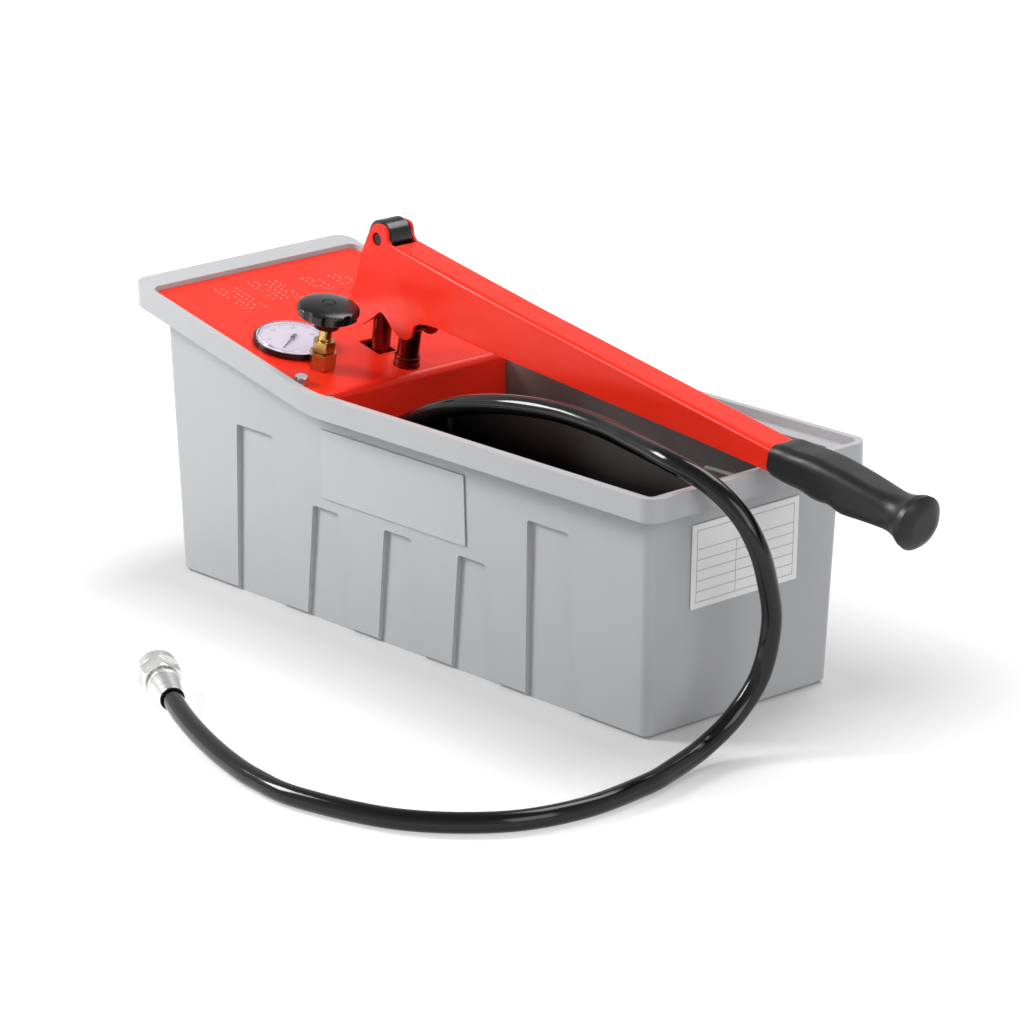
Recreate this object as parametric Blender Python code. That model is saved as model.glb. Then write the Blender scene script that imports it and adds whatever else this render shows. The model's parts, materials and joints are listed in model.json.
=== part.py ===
"""Hydrostatic test pump: water tank, hand pump under a sloping cover, lever, gauge, valve and hose.

Row frame: metres, +Z up, +X along the tank to the grip end of the lever, +Y away from the viewer,
origin on the floor in the middle of the tank's underside.  The pump stands square to the sloping
cover, so its pieces are placed in a cover frame: along (down the slope), across (+Y), up (square
to the cover), with height zero on the cover's top face.
"""
import math

import bmesh
import bpy
from mathutils import Matrix, Vector

# Clearances shared by all pieces
GAP = 0.0003
CUT = 0.004
ROUND_SEGMENTS = 22
SMALL_SEGMENTS = 14
FULL_TURN = 2.0 * math.pi
QUARTER_TURN = 0.25 * FULL_TURN
HEXAGON = 6
ROUTE_STEPS = 24

# Tank: rim, walls, base
RIM_LENGTH = 0.525
RIM_WIDTH = 0.189
RIM_LOW = 0.165
RIM_HIGH = 0.2065
KINK_X = -0.072
KINK_REACH = 0.012
KINK_STATIONS = (1.0, 0.5, 0.0, -0.5, -1.0)
RIM_CORNER = 0.012
SKIRT_HEIGHT = 0.0155
SKIRT_WALL = 0.0028
LIP_WIDTH = 0.0048
LIP_DEPTH = 0.0055
LIP_ROUND = 0.0012
LEDGE_THICKNESS = 0.003
PUMP_END_RIM = 0.0162
WALL_THICKNESS = 0.003
END_OVERHANG = 0.017
SIDE_OVERHANG = 0.015
WALL_HALF_LENGTH = 0.5 * RIM_LENGTH - END_OVERHANG
WALL_HALF_WIDTH = 0.5 * RIM_WIDTH - SIDE_OVERHANG
WALL_CORNER = 0.0065
END_DRAFT = 0.0075
SIDE_DRAFT = 0.0012
FAR_BASE_OUT = 0.003
FAR_WALL_OUT = 0.009
SHOULDER_DROP = 0.0012
SHOULDER_HEIGHT = 0.0026
BASE_HALF_LENGTH = WALL_HALF_LENGTH - END_DRAFT
BASE_HALF_WIDTH = WALL_HALF_WIDTH - SIDE_DRAFT
BASE_ROUND = 0.0025
FLOOR_THICKNESS = 0.0035
CORNER_STEPS = 5

# Wall recesses, front and back
RECESS_PITCH = 0.0747
RECESS_DEPTH = 0.004
RECESS_DRAFT = 0.001
TALL_TOP = 0.120
TALL_HALF_TOP = 0.0192
TALL_HALF_BOTTOM = 0.0252
SHORT_TOP = 0.0805
SHORT_HALF_TOP = 0.0134
SHORT_HALF_BOTTOM = 0.0241
RECESS_CORNER = 0.002
RECESS_SLOTS = ((-2, True), (-1, False), (0, False), (1, False), (2, True))

# Blank name panel and blank rating label
PANEL_THICKNESS = 0.0009
NAME_PANEL_WIDTH = 0.146
NAME_PANEL_HEIGHT = 0.048
NAME_PANEL_X = -0.003
NAME_PANEL_Z = 0.1123
END_LABEL_WIDTH = 0.092
END_LABEL_HEIGHT = 0.056
END_LABEL_Y = 0.002
END_LABEL_Z = 0.1068
PANEL_CORNER = 0.002

# Sloping cover plate with its front flange
SLOPE = math.atan2(RIM_HIGH - RIM_LOW, 0.5 * RIM_LENGTH + KINK_X)
COVER_THICKNESS = 0.0022
COVER_DROP = LIP_DEPTH - COVER_THICKNESS - GAP
COVER_SIDE_GAP = 0.0011
COVER_HALF_WIDTH = 0.5 * RIM_WIDTH - LIP_WIDTH - COVER_SIDE_GAP
COVER_CORNER = 0.008
FLANGE_FACE_X = -0.0675
FLANGE_SIDE_GAP = 0.001
FLANGE_HALF_WIDTH = WALL_HALF_WIDTH - WALL_THICKNESS - FLANGE_SIDE_GAP
FLANGE_BOTTOM_Z = 0.132
EAR_FRONT = -0.0122
BEND_RADIUS = 0.005
BEND_STEPS = 6

# Cover screws through the ledge
WASHER_RADIUS = 0.0046
WASHER_THICKNESS = 0.0009
SCREW_ALONG = -0.0183
SCREW_ACROSS = COVER_HALF_WIDTH - WASHER_RADIUS
SCREW_RADIUS = 0.0025
SCREW_HEAD_FLATS = 0.008
SCREW_HEAD_HEIGHT = 0.0036
SCREW_LENGTH = 0.0145
NUT_HEIGHT = 0.004

# Pump head casting under the cover
HEAD_TOP = -COVER_THICKNESS - GAP
HEAD_BOTTOM = -0.030
HEAD_FRONT = 0.002
HEAD_BACK = -0.043
HEAD_SIDE_GAP = 0.0075
HEAD_NEAR = HEAD_SIDE_GAP - FLANGE_HALF_WIDTH
HEAD_FAR = 0.016
CHEEK_BACK = -0.060
CHEEK_HALF = 0.016
BAR_TOP = -0.025
BAR_BOTTOM = -0.042
BAR_BACK = -0.080
BAR_FRONT = -0.036
BAR_HALF = 0.012
HEAD_EDGE = 0.0012

# Plunger, gland and cylinder, on the pump axis
PUMP_ALONG = -0.0095
ROD_RADIUS = 0.0075
ROD_NECK_RADIUS = 0.005
ROD_NECK_TOP = -0.060
SPIGOT_RADIUS = 0.004
SPIGOT_TOP = -0.095
SPIGOT_BOTTOM = -0.1135
GLAND_RADIUS = 0.0088
GLAND_TOP = 0.0075
GLAND_BOTTOM = -0.014
SEAL_BOTTOM = -0.020
WEB_BOTTOM = -0.023
NECK_RADIUS = 0.009
CYLINDER_RADIUS = 0.012
CYLINDER_BORE = 0.0083
CYLINDER_BOTTOM = -0.118
PISTON_RADIUS = 0.0080
PISTON_BOTTOM = -0.108
PISTON_GROOVE_TOP = -0.100
PISTON_GROOVE_BOTTOM = -0.1032
PISTON_GROOVE_RADIUS = 0.0062
PISTON_NUT_FLATS = 0.010
PISTON_NUT_HEIGHT = 0.0038

# Foot block with the two ball valves, strainer and delivery pipe
FOOT_TOP = CYLINDER_BOTTOM - GAP
FOOT_BOTTOM = -0.146
FOOT_HALF = 0.0145
FOOT_NEAR = -0.032
TOWER_TOP = -0.098
TOWER_FAR = -0.0135
DELIVERY_ACROSS = -0.0225
SUCTION_CHAMBER = 0.0055
SUCTION_SEAT = -0.136
SUCTION_HOLE = 0.003
SUCTION_BALL = 0.0042
DELIVERY_CHAMBER = 0.0048
DELIVERY_SEAT = -0.118
DELIVERY_POCKET = 0.0028
DELIVERY_POCKET_BOTTOM = -0.127
DELIVERY_BALL = 0.0038
PASSAGE_RADIUS = 0.0021
PASSAGE_HEIGHT = -0.1235
UNION_HEIGHT = 0.006
UNION_FLATS = 0.011
PIPE_RADIUS = 0.0038
PIPE_BORE = 0.0024
STRAINER_RADIUS = 0.009
STRAINER_HEIGHT = 0.0105
STRAINER_WALL = 0.0012
STRAINER_SLOTS = 8
STRAINER_SLOT_WIDTH = 0.0028
STRAINER_SLOT_HEIGHT = 0.0055

# Lever linkage, in the lever's own plane (along X and Z of the row frame)
FULCRUM = (-0.0957, 0.2502)
EYE_AT = (-0.0750, 0.1970)
LINK_BASE = (-0.1120, 0.1530)
EYE_RADIUS = 0.0100
EYE_HALF = 0.0060
CROSS_BAR_RADIUS = 0.0050
LINK_RADIUS = 0.0065
LINK_EYE_RADIUS = 0.0095
LINK_EYE_HALF = 0.0060
LINK_HOLE_RADIUS = 0.0068
LINK_PIN_RADIUS = 0.0038
LINK_PIN_HALF = 0.0150
LINK_SLOT_FRONT = -0.0232
LINK_SLOT_BACK = -0.0535
LINK_SLOT_HALF = 0.0088
COVER_SLOT_FRONT = -0.0290
COVER_SLOT_BACK = -0.0520
BARREL_RADIUS = 0.0110
BARREL_SOCKET = 0.0030
PIVOT_RADIUS = 0.0042
PIVOT_HALF = 0.0108

# Lever pressing: outline of the side plate, from the ear's top round by the rear
LEVER_HALF = 0.0120
LEVER_SHEET = 0.0025
LEVER_EARS = (
    (-0.0900, 0.2627), (-0.0944, 0.2629), (-0.0993, 0.2601), (-0.1033, 0.2548), (-0.1085, 0.2454),
    (-0.1132, 0.2361), (-0.1175, 0.2223), (-0.1234, 0.2086), (-0.1252, 0.1975), (-0.1222, 0.1895),
    (-0.1154, 0.1873), (-0.1098, 0.1899), (-0.1050, 0.1926), (-0.0995, 0.1965), (-0.0953, 0.1998),
    (-0.0919, 0.1996), (-0.0880, 0.1968), (-0.0835, 0.1925), (-0.0789, 0.1885), (-0.0750, 0.1864),
    (-0.0690, 0.1856), (-0.0640, 0.1872), (-0.0615, 0.1905), (-0.0594, 0.1957), (-0.0561, 0.1985),
    (-0.0481, 0.2001), (-0.0382, 0.2002), (-0.0273, 0.1992), (0.0286, 0.1934), (0.0902, 0.1880),
    (0.1625, 0.1815), (0.2176, 0.1766),
)
LEVER_LOWER_END = ((0.2679, 0.1713), (0.3250, 0.1655))
LEVER_UPPER_END = ((0.3250, 0.1785), (0.2744, 0.1868))
LEVER_TOP = (
    (0.2085, 0.1977), (0.1627, 0.2056), (0.0484, 0.2252), (-0.0162, 0.2370), (-0.0784, 0.2479),
    (-0.0817, 0.2478), (-0.0847, 0.2511), (-0.0852, 0.2580), (-0.0872, 0.2612),
)
LEVER_OUTLINE = LEVER_EARS + LEVER_LOWER_END + LEVER_UPPER_END + LEVER_TOP
WEB_REAR_X = -0.0790
LEVER_REAR_X = -0.140
LEVER_FRONT_X = 0.340
LEVER_TOP_FRONT_Z = 0.1761
LEVER_TOP_REAR_Z = 0.2480
LEVER_FLOOR_Z = 0.120
EAR_TOP_Z = 0.280

# Rubber grip: centre x, centre z, half width, half height of each section
GRIP_SECTIONS = (
    (0.2798, 0.1783, 0.0137, 0.0098), (0.2822, 0.1780, 0.0143, 0.0110), (0.2880, 0.1773, 0.0145, 0.0117),
    (0.2970, 0.1760, 0.0147, 0.0121), (0.3080, 0.1752, 0.0147, 0.0127), (0.3200, 0.1730, 0.0149, 0.0141),
    (0.3320, 0.1718, 0.0147, 0.0133), (0.3420, 0.1692, 0.0145, 0.0145), (0.3560, 0.1674, 0.0141, 0.0133),
    (0.3680, 0.1658, 0.0134, 0.0126), (0.3780, 0.1644, 0.0131, 0.0127), (0.3870, 0.1628, 0.0150, 0.0152),
    (0.3930, 0.1616, 0.0172, 0.0174), (0.3980, 0.1605, 0.0165, 0.0168), (0.4010, 0.1598, 0.0120, 0.0124),
)
GRIP_TILT = -0.22
GRIP_STEPS = 18
GRIP_SQUARENESS = 2.6
GRIP_POCKET_FRONT = 0.327

# Release valve
VALVE_ALONG = -0.0317
VALVE_INSET = 0.0123
VALVE_ACROSS = HEAD_NEAR + VALVE_INSET
VALVE_HEX_FLATS = 0.0165
VALVE_HEX_HEIGHT = 0.0120
VALVE_SHANK_RADIUS = 0.0065
VALVE_SHANK_BOTTOM = -0.022
VALVE_BORE = 0.0031
GLAND_HEX_FLATS = 0.0135
GLAND_HEX_TOP = 0.0202
GLAND_NECK_RADIUS = 0.0050
GLAND_NECK_DEPTH = 0.005
STEM_RADIUS = 0.0028
STEM_COLLAR_RADIUS = 0.0043
STEM_COLLAR_BOTTOM = 0.0206
STEM_TOP = 0.0440
STEM_BOTTOM = -0.0175
STEM_TIP = -0.0205
HUB_BOTTOM = 0.0296
HUB_RADIUS = 0.0085
WHEEL_BOTTOM = 0.0400
WHEEL_TOP = 0.0465
WHEEL_RADIUS = 0.0200
WHEEL_LOBE = 0.0009
WHEEL_LOBES = 9
LOBE_STEPS = 4
WHEEL_ROUND = 0.0018
DOME_TOP = 0.0478
DOME_RADIUS = 0.0125
CAP_RADIUS = 0.0042

# Pressure gauge
BEZEL_RADIUS = 0.0265
GAUGE_ALONG = -0.0687
GAUGE_SIDE_GAP = 0.0101
GAUGE_ACROSS = BEZEL_RADIUS + GAUGE_SIDE_GAP - COVER_HALF_WIDTH
BEZEL_TOP = 0.0026
CASE_RADIUS = 0.0228
CASE_BOTTOM = -0.022
CASE_WALL = 0.0018
DIAL_RADIUS = 0.0247
DIAL_BOTTOM = 0.0010
DIAL_THICKNESS = 0.0006
LENS_RADIUS = 0.0250
LENS_TOP = 0.0060
LENS_WALL = 0.0012
HUB_HOLE = 0.0016
NEEDLE_BOTTOM = 0.0026
NEEDLE_THICKNESS = 0.0007
NEEDLE_LENGTH = 0.0185
NEEDLE_TAIL = 0.0060
NEEDLE_HUB = 0.0026
NEEDLE_SHAFT = 0.0010
NEEDLE_ZERO_TURN = math.radians(-57.0)
TUBE_ARC_RADIUS = 0.0135
TUBE_RADIUS = 0.0021
TUBE_HEIGHT = -0.0085
TUBE_START = math.radians(-60.0)
TUBE_SWEEP = math.radians(250.0)
TUBE_STEPS = 14
GAUGE_STEM_RADIUS = 0.0060
STEM_NECK_RADIUS = 0.0042

# Pressure outlet under the head, row frame
HOSE_RADIUS = 0.0066
HOSE_START = (-0.088, -0.042, 0.1074)
HOSE_RISE = math.radians(30.0)
FERRULE_RADIUS = 0.0086
FERRULE_LENGTH = 0.018
FERRULE_BACK = 0.006
ELBOW_RADIUS = 0.0055
ELBOW_ALONG = -0.062
ELBOW_ACROSS = GAUGE_ACROSS
ELBOW_ROUTE = (
    (-0.1440, -0.0520, 0.1205), (-0.1395, -0.0515, 0.1075), (-0.1290, -0.0495, 0.0990),
    (-0.1155, -0.0465, 0.0962), (-0.1035, -0.0435, 0.0990),
)
ELBOW_POINTS = 20

# Hose end fitting: stations along its axis from the mouth of its socket
END_ORIGIN = (-0.0144, -0.2593, 0.0130)
END_TOWARD = (-0.0623, -0.2370, 0.0167)
END_SOCKET = 0.014
END_FERRULE_LENGTH = 0.0205
END_FERRULE_WIDE = 0.0104
COLLAR_END = 0.0230
COLLAR_RADIUS = 0.0112
TAIL_RADIUS = 0.0080
TAIL_FLANGE_START = 0.0330
TAIL_FLANGE_END = 0.0355
TAIL_FLANGE_RADIUS = 0.0103
TAIL_BORE = 0.0030
NUT_START = 0.0262
NUT_HEX_END = 0.0385
NUT_END = 0.0486
NUT_FLATS = 0.0238
NUT_ROUND_RADIUS = 0.0142
NUT_BORE = 0.0108
NUT_CHAMFER = 0.0012
FACE_WASHER_THICKNESS = 0.002
SLEEVE_LENGTH = 0.0012
SLEEVE_RADIUS = 0.0080

# Hose route: centre line chosen by hand, over the end rim and round on the floor
HOSE_ROUTE = (
    (-0.0880, -0.0420, 0.1074), (-0.0700, -0.0420, 0.1178), (-0.0340, -0.0430, 0.1406),
    (0.0158, -0.0453, 0.1631), (0.0671, -0.0457, 0.1763), (0.1169, -0.0427, 0.1812),
    (0.1613, -0.0455, 0.1816), (0.2011, -0.0545, 0.1820), (0.2438, -0.0626, 0.1805),
    (0.2733, -0.0575, 0.1714), (0.2924, -0.0497, 0.1546), (0.3019, -0.0434, 0.1346),
    (0.3040, -0.0375, 0.1132), (0.3002, -0.0293, 0.0833), (0.2958, -0.0342, 0.0490),
    (0.2919, -0.0522, 0.0250), (0.2923, -0.0793, 0.0111), (0.3004, -0.1137, 0.0073),
    (0.3073, -0.1425, 0.0069), (0.3102, -0.1970, 0.0069), (0.2935, -0.2458, 0.0069),
    (0.2479, -0.2873, 0.0069), (0.1802, -0.3077, 0.0069), (0.1360, -0.3068, 0.0070),
    (0.1025, -0.3005, 0.0073), (0.0740, -0.2930, 0.0081), (0.0470, -0.2846, 0.0092),
    (0.0205, -0.2748, 0.0106), (-0.0017, -0.2652, 0.0120), (-0.0144, -0.2593, 0.0130),
)
HOSE_POINTS = 64
HOSE_BEVEL_STEPS = 2

COLOURS = {
    "tank_grey": ((0.30, 0.31, 0.33, 1.0), 0.0, 0.6),
    "cover_red": ((0.45, 0.02, 0.02, 1.0), 0.0, 0.45),
    "panel_white": ((0.80, 0.80, 0.80, 1.0), 0.0, 0.5),
    "steel_plated": ((0.65, 0.65, 0.66, 1.0), 1.0, 0.25),
    "steel_dark": ((0.09, 0.09, 0.10, 1.0), 1.0, 0.35),
    "brass": ((0.62, 0.46, 0.20, 1.0), 1.0, 0.3),
    "rubber_black": ((0.02, 0.02, 0.02, 1.0), 0.0, 0.5),
    "plastic_black": ((0.015, 0.015, 0.015, 1.0), 0.0, 0.35),
    "dial_white": ((0.85, 0.84, 0.88, 1.0), 0.0, 0.5),
    "clear_lens": ((0.90, 0.90, 0.92, 0.35), 0.0, 0.1),
}


def clear_scene():
    """Remove whatever the start-up file holds."""
    for item in list(bpy.data.objects):
        bpy.data.objects.remove(item, do_unlink=True)


def own_material(name, look):
    """Give one piece a material of its own, in one of the shared colours."""
    colour, metallic, roughness = COLOURS[look]
    material = bpy.data.materials.new(name)
    material.use_nodes = True
    shader = material.node_tree.nodes["Principled BSDF"]
    shader.inputs["Base Color"].default_value = colour
    shader.inputs["Metallic"].default_value = metallic
    shader.inputs["Roughness"].default_value = roughness
    return material


def add_piece(name, mesh_builder, look, smooth_angle=None):
    """Turn a bmesh into a named object; a look of None makes a hidden cutter."""
    bmesh.ops.recalc_face_normals(mesh_builder, faces=mesh_builder.faces)
    mesh = bpy.data.meshes.new(name)
    mesh_builder.to_mesh(mesh)
    mesh_builder.free()
    piece = bpy.data.objects.new(name, mesh)
    bpy.context.collection.objects.link(piece)
    if look is None:
        piece.hide_render = True
        piece.display_type = "WIRE"
    else:
        mesh.materials.append(own_material(name, look))
        if smooth_angle is not None:
            for polygon in mesh.polygons:
                polygon.use_smooth = True
            mesh.set_sharp_from_angle(angle=smooth_angle)
    return piece


SMOOTH = math.radians(40.0)


def lathe(name, profile, look, segments=ROUND_SEGMENTS, flats=0):
    """Spin (radius, height) points round Z; points on the axis close the ends.

    With flats, the radii are read as half the width across flats of a prism of that many sides.
    """
    builder = bmesh.new()
    count = flats if flats else segments
    stretch = 1.0 / math.cos(math.pi / count) if flats else 1.0
    turn = 0.5 * FULL_TURN / count if flats else 0.0
    rings = []
    for radius, height in profile:
        if radius == 0.0:
            rings.append([builder.verts.new((0.0, 0.0, height))])
            continue
        ring = []
        for step in range(count):
            angle = FULL_TURN * step / count + turn
            reach = radius * stretch
            ring.append(builder.verts.new((reach * math.cos(angle), reach * math.sin(angle), height)))
        rings.append(ring)
    pairs = list(zip(rings, rings[1:]))
    if profile[0][0] > 0.0 and profile[-1][0] > 0.0:
        pairs.append((rings[-1], rings[0]))
    for lower, upper in pairs:
        for step in range(count):
            after = (step + 1) % count
            corners = [lower[step % len(lower)], lower[after % len(lower)]]
            corners += [upper[after % len(upper)], upper[step % len(upper)]]
            unique = list(dict.fromkeys(corners))
            if len(unique) > 2:
                builder.faces.new(unique)
    return add_piece(name, builder, look, SMOOTH)


def ring_profile(inner, outer, bottom, top):
    """Closed section of a plain ring."""
    return ((inner, bottom), (outer, bottom), (outer, top), (inner, top))


def disc_profile(radius, bottom, top):
    """Section of a plain disc, closed on the axis."""
    return ((0.0, bottom), (radius, bottom), (radius, top), (0.0, top))


def box(name, low, high, look, edge=0.0):
    """Rectangular block between two corners, with its edges broken when asked."""
    builder = bmesh.new()
    bmesh.ops.create_cube(builder, size=1.0)
    for vertex in builder.verts:
        for axis in range(3):
            vertex.co[axis] = low[axis] if vertex.co[axis] < 0.0 else high[axis]
    if edge > 0.0:
        bmesh.ops.bevel(builder, geom=builder.edges[:], offset=edge, segments=2, affect="EDGES")
    return add_piece(name, builder, look, SMOOTH)


def prism(name, outline, start, end, look):
    """Extrude an outline of (x, z) points along Y."""
    builder = bmesh.new()
    near = [builder.verts.new((x, start, z)) for x, z in outline]
    far = [builder.verts.new((x, end, z)) for x, z in outline]
    builder.faces.new(near)
    builder.faces.new(list(reversed(far)))
    for index in range(len(outline)):
        after = (index + 1) % len(outline)
        builder.faces.new((near[index], near[after], far[after], far[index]))
    return add_piece(name, builder, look, SMOOTH)


def cylinder_across(name, centre, radius, half, look, segments=ROUND_SEGMENTS):
    """Cylinder along Y, its centre given in X and Z."""
    outline = []
    for step in range(segments):
        angle = FULL_TURN * step / segments
        outline.append((centre[0] + radius * math.cos(angle), centre[1] + radius * math.sin(angle)))
    return prism(name, outline, -half, half, look)


def boolean(piece, other, operation="DIFFERENCE"):
    """Cut or join another body into a piece."""
    modifier = piece.modifiers.new(other.name, "BOOLEAN")
    modifier.operation = operation
    modifier.solver = "EXACT"
    modifier.object = other


COVER_ORIGIN = Vector((KINK_X - COVER_DROP * math.sin(SLOPE), 0.0, RIM_LOW - COVER_DROP * math.cos(SLOPE)))
COVER_FRAME = Matrix.Translation(COVER_ORIGIN) @ Matrix.Rotation(SLOPE, 4, "Y")


def seat(piece, along=0.0, across=0.0, up=0.0):
    """Place a piece in the cover frame."""
    piece.matrix_world = COVER_FRAME @ Matrix.Translation((along, across, up))
    return piece


def in_cover_frame(x, z):
    """Along and up, in the cover frame, of a row point in the lever's plane."""
    local = COVER_FRAME.inverted() @ Vector((x, 0.0, z))
    return local.x, local.z


def aim(piece, origin, target):
    """Stand a piece made along Z at a row point, pointing to another."""
    start = Vector(origin)
    turn = (Vector(target) - start).to_track_quat("Z", "Y").to_matrix().to_4x4()
    piece.matrix_world = Matrix.Translation(start) @ turn
    return piece


def smooth_route(points, count):
    """Points evenly along a Catmull-Rom curve through a route."""
    nodes = [Vector(point) for point in points]
    nodes = [2.0 * nodes[0] - nodes[1]] + nodes + [2.0 * nodes[-1] - nodes[-2]]
    fine = []
    for index in range(1, len(nodes) - 2):
        before, start, end, after = nodes[index - 1:index + 3]
        for step in range(ROUTE_STEPS):
            t = step / ROUTE_STEPS
            fine.append(0.5 * ((2.0 * start) + (end - before) * t
                               + (2.0 * before - 5.0 * start + 4.0 * end - after) * t * t
                               + (3.0 * start - before - 3.0 * end + after) * t * t * t))
    fine.append(nodes[-2])
    lengths = [0.0]
    for first, second in zip(fine, fine[1:]):
        lengths.append(lengths[-1] + (second - first).length)
    even = []
    place = 0
    for index in range(count):
        wanted = lengths[-1] * index / (count - 1)
        while place < len(fine) - 2 and lengths[place + 1] < wanted:
            place += 1
        span = lengths[place + 1] - lengths[place]
        share = (wanted - lengths[place]) / span if span > 0.0 else 0.0
        even.append(fine[place].lerp(fine[place + 1], min(share, 1.0)))
    return even


def tube(name, points, radius, look, bevel_steps=HOSE_BEVEL_STEPS):
    """Round bar or hose along a line of points."""
    curve = bpy.data.curves.new(name, "CURVE")
    curve.dimensions = "3D"
    curve.bevel_depth = radius
    curve.bevel_resolution = bevel_steps
    curve.use_fill_caps = True
    curve.render_resolution_u = 0
    spline = curve.splines.new("POLY")
    spline.points.add(len(points) - 1)
    for place, point in zip(spline.points, points):
        place.co = (point[0], point[1], point[2], 1.0)
        place.radius = 1.0
    curve.materials.append(own_material(name, look))
    piece = bpy.data.objects.new(name, curve)
    bpy.context.collection.objects.link(piece)
    return piece


def rim_rise(x):
    """Height of the rim's top above its level part, with the bend rounded."""
    run = KINK_X - x
    grade = math.tan(SLOPE)
    if run <= -KINK_REACH:
        return 0.0
    if run >= KINK_REACH:
        return grade * run
    return grade * (run + KINK_REACH) ** 2 / (4.0 * KINK_REACH)


def ring_outline(left, right, half_width, corner):
    """Rounded rectangle with matching points beside the bend, counter-clockwise from above."""
    points = []
    corners = ((right - corner, corner - half_width), (right - corner, half_width - corner),
               (left + corner, half_width - corner), (left + corner, corner - half_width))
    bend = [KINK_X + station * KINK_REACH for station in KINK_STATIONS]
    for index, (centre_x, centre_y) in enumerate(corners):
        for step in range(CORNER_STEPS + 1):
            angle = QUARTER_TURN * (index - 1 + step / CORNER_STEPS)
            points.append((centre_x + corner * math.cos(angle), centre_y + corner * math.sin(angle)))
        if index == 1:
            points.extend((x, half_width) for x in bend)
        if index == 3:
            points.extend((x, -half_width) for x in reversed(bend))
    return points


def loft(name, rings, look):
    """Skin a stack of rings given as ((x, y, z), ...) and cap both ends."""
    builder = bmesh.new()
    made = [[builder.verts.new(point) for point in ring] for ring in rings]
    for lower, upper in zip(made, made[1:]):
        for index in range(len(lower)):
            after = (index + 1) % len(lower)
            builder.faces.new((lower[index], lower[after], upper[after], upper[index]))
    builder.faces.new(list(reversed(made[0])))
    builder.faces.new(made[-1])
    return add_piece(name, builder, look, SMOOTH)


def far_out(height):
    """How much farther out the far wall's face stands than the near one's at one height."""
    return FAR_BASE_OUT + (FAR_WALL_OUT - FAR_BASE_OUT) * height / RIM_LOW


def level_ring(half_length, half_width, corner, height):
    """Ring at one height."""
    outline = ring_outline(-half_length, half_length, half_width, corner)
    return [(x, y, height) for x, y in outline]


def leaned(ring, height):
    """The same ring with its far side moved out to the far wall's face."""
    return [(x, y + (far_out(height) if y > 0.0 else 0.0), z) for x, y, z in ring]


def rim_ring(inset, drop, pump_end_inset=None):
    """Ring set in from the rim's edge and a given depth below its top."""
    half = 0.5 * RIM_LENGTH
    end_inset = inset if pump_end_inset is None else pump_end_inset
    corner = max(RIM_CORNER - inset, WALL_CORNER)
    outline = ring_outline(-half + end_inset, half - inset, 0.5 * RIM_WIDTH - inset, corner)
    return [(x, y, RIM_LOW + rim_rise(x) - drop) for x, y in outline]


def wall_ring(inset, drop):
    """Ring on the wall's line under the rim."""
    outline = ring_outline(-WALL_HALF_LENGTH + inset, WALL_HALF_LENGTH - inset,
                           WALL_HALF_WIDTH - inset, max(WALL_CORNER - inset, WALL_THICKNESS))
    return [(x, y, RIM_LOW + rim_rise(x) - drop) for x, y in outline]


def below(lower, upper, drop):
    """Ring on the face between two rings, a given depth below the upper one."""
    made = []
    for (low_x, low_y, low_z), (high_x, high_y, high_z) in zip(lower, upper):
        share = drop / (high_z - low_z)
        made.append((high_x + (low_x - high_x) * share, high_y + (low_y - high_y) * share, high_z - drop))
    return made


def recess_outline(tall, grow):
    """Trapezoid with rounded upper corners, grown outward evenly."""
    top = (TALL_TOP if tall else SHORT_TOP) + grow
    half_top = (TALL_HALF_TOP if tall else SHORT_HALF_TOP) + grow
    half_bottom = (TALL_HALF_BOTTOM if tall else SHORT_HALF_BOTTOM) + grow
    corner = RECESS_CORNER + grow
    lean = math.atan2(half_bottom - half_top, top)
    right = [(half_bottom + CUT * math.tan(lean), -CUT)]
    tangent = corner * math.tan(0.5 * (QUARTER_TURN - lean))
    centre = (half_top - tangent + corner * math.tan(lean), top - corner)
    for step in range(CORNER_STEPS + 1):
        angle = lean + (QUARTER_TURN - lean) * step / CORNER_STEPS
        right.append((centre[0] + corner * math.cos(angle), centre[1] + corner * math.sin(angle)))
    return right + [(-x, z) for x, z in reversed(right)]


def recess_cutters(name, grow, depth, lean):
    """One body holding every recess of both long walls, sloped at its sides; lean 1 follows the far face."""
    builder = bmesh.new()
    reach = WALL_HALF_WIDTH + CUT
    for side in (-1.0, 1.0):
        for place, tall in RECESS_SLOTS:
            base_depth = WALL_HALF_WIDTH - depth
            sections = ((reach, recess_outline(tall, grow + 0.5 * RECESS_DRAFT)),
                        (WALL_HALF_WIDTH, recess_outline(tall, grow + 0.5 * RECESS_DRAFT)),
                        (base_depth, recess_outline(tall, grow - 0.5 * RECESS_DRAFT)))
            out = lean if side > 0.0 else 0.0
            rings = [[builder.verts.new((x + place * RECESS_PITCH, side * y + out * far_out(z), z))
                      for x, z in outline]
                     for y, outline in sections]
            for outer, inner in zip(rings, rings[1:]):
                for index in range(len(outer)):
                    after = (index + 1) % len(outer)
                    builder.faces.new((outer[index], outer[after], inner[after], inner[index]))
            builder.faces.new(rings[0])
            builder.faces.new(list(reversed(rings[-1])))
    return add_piece(name, builder, None)


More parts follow.
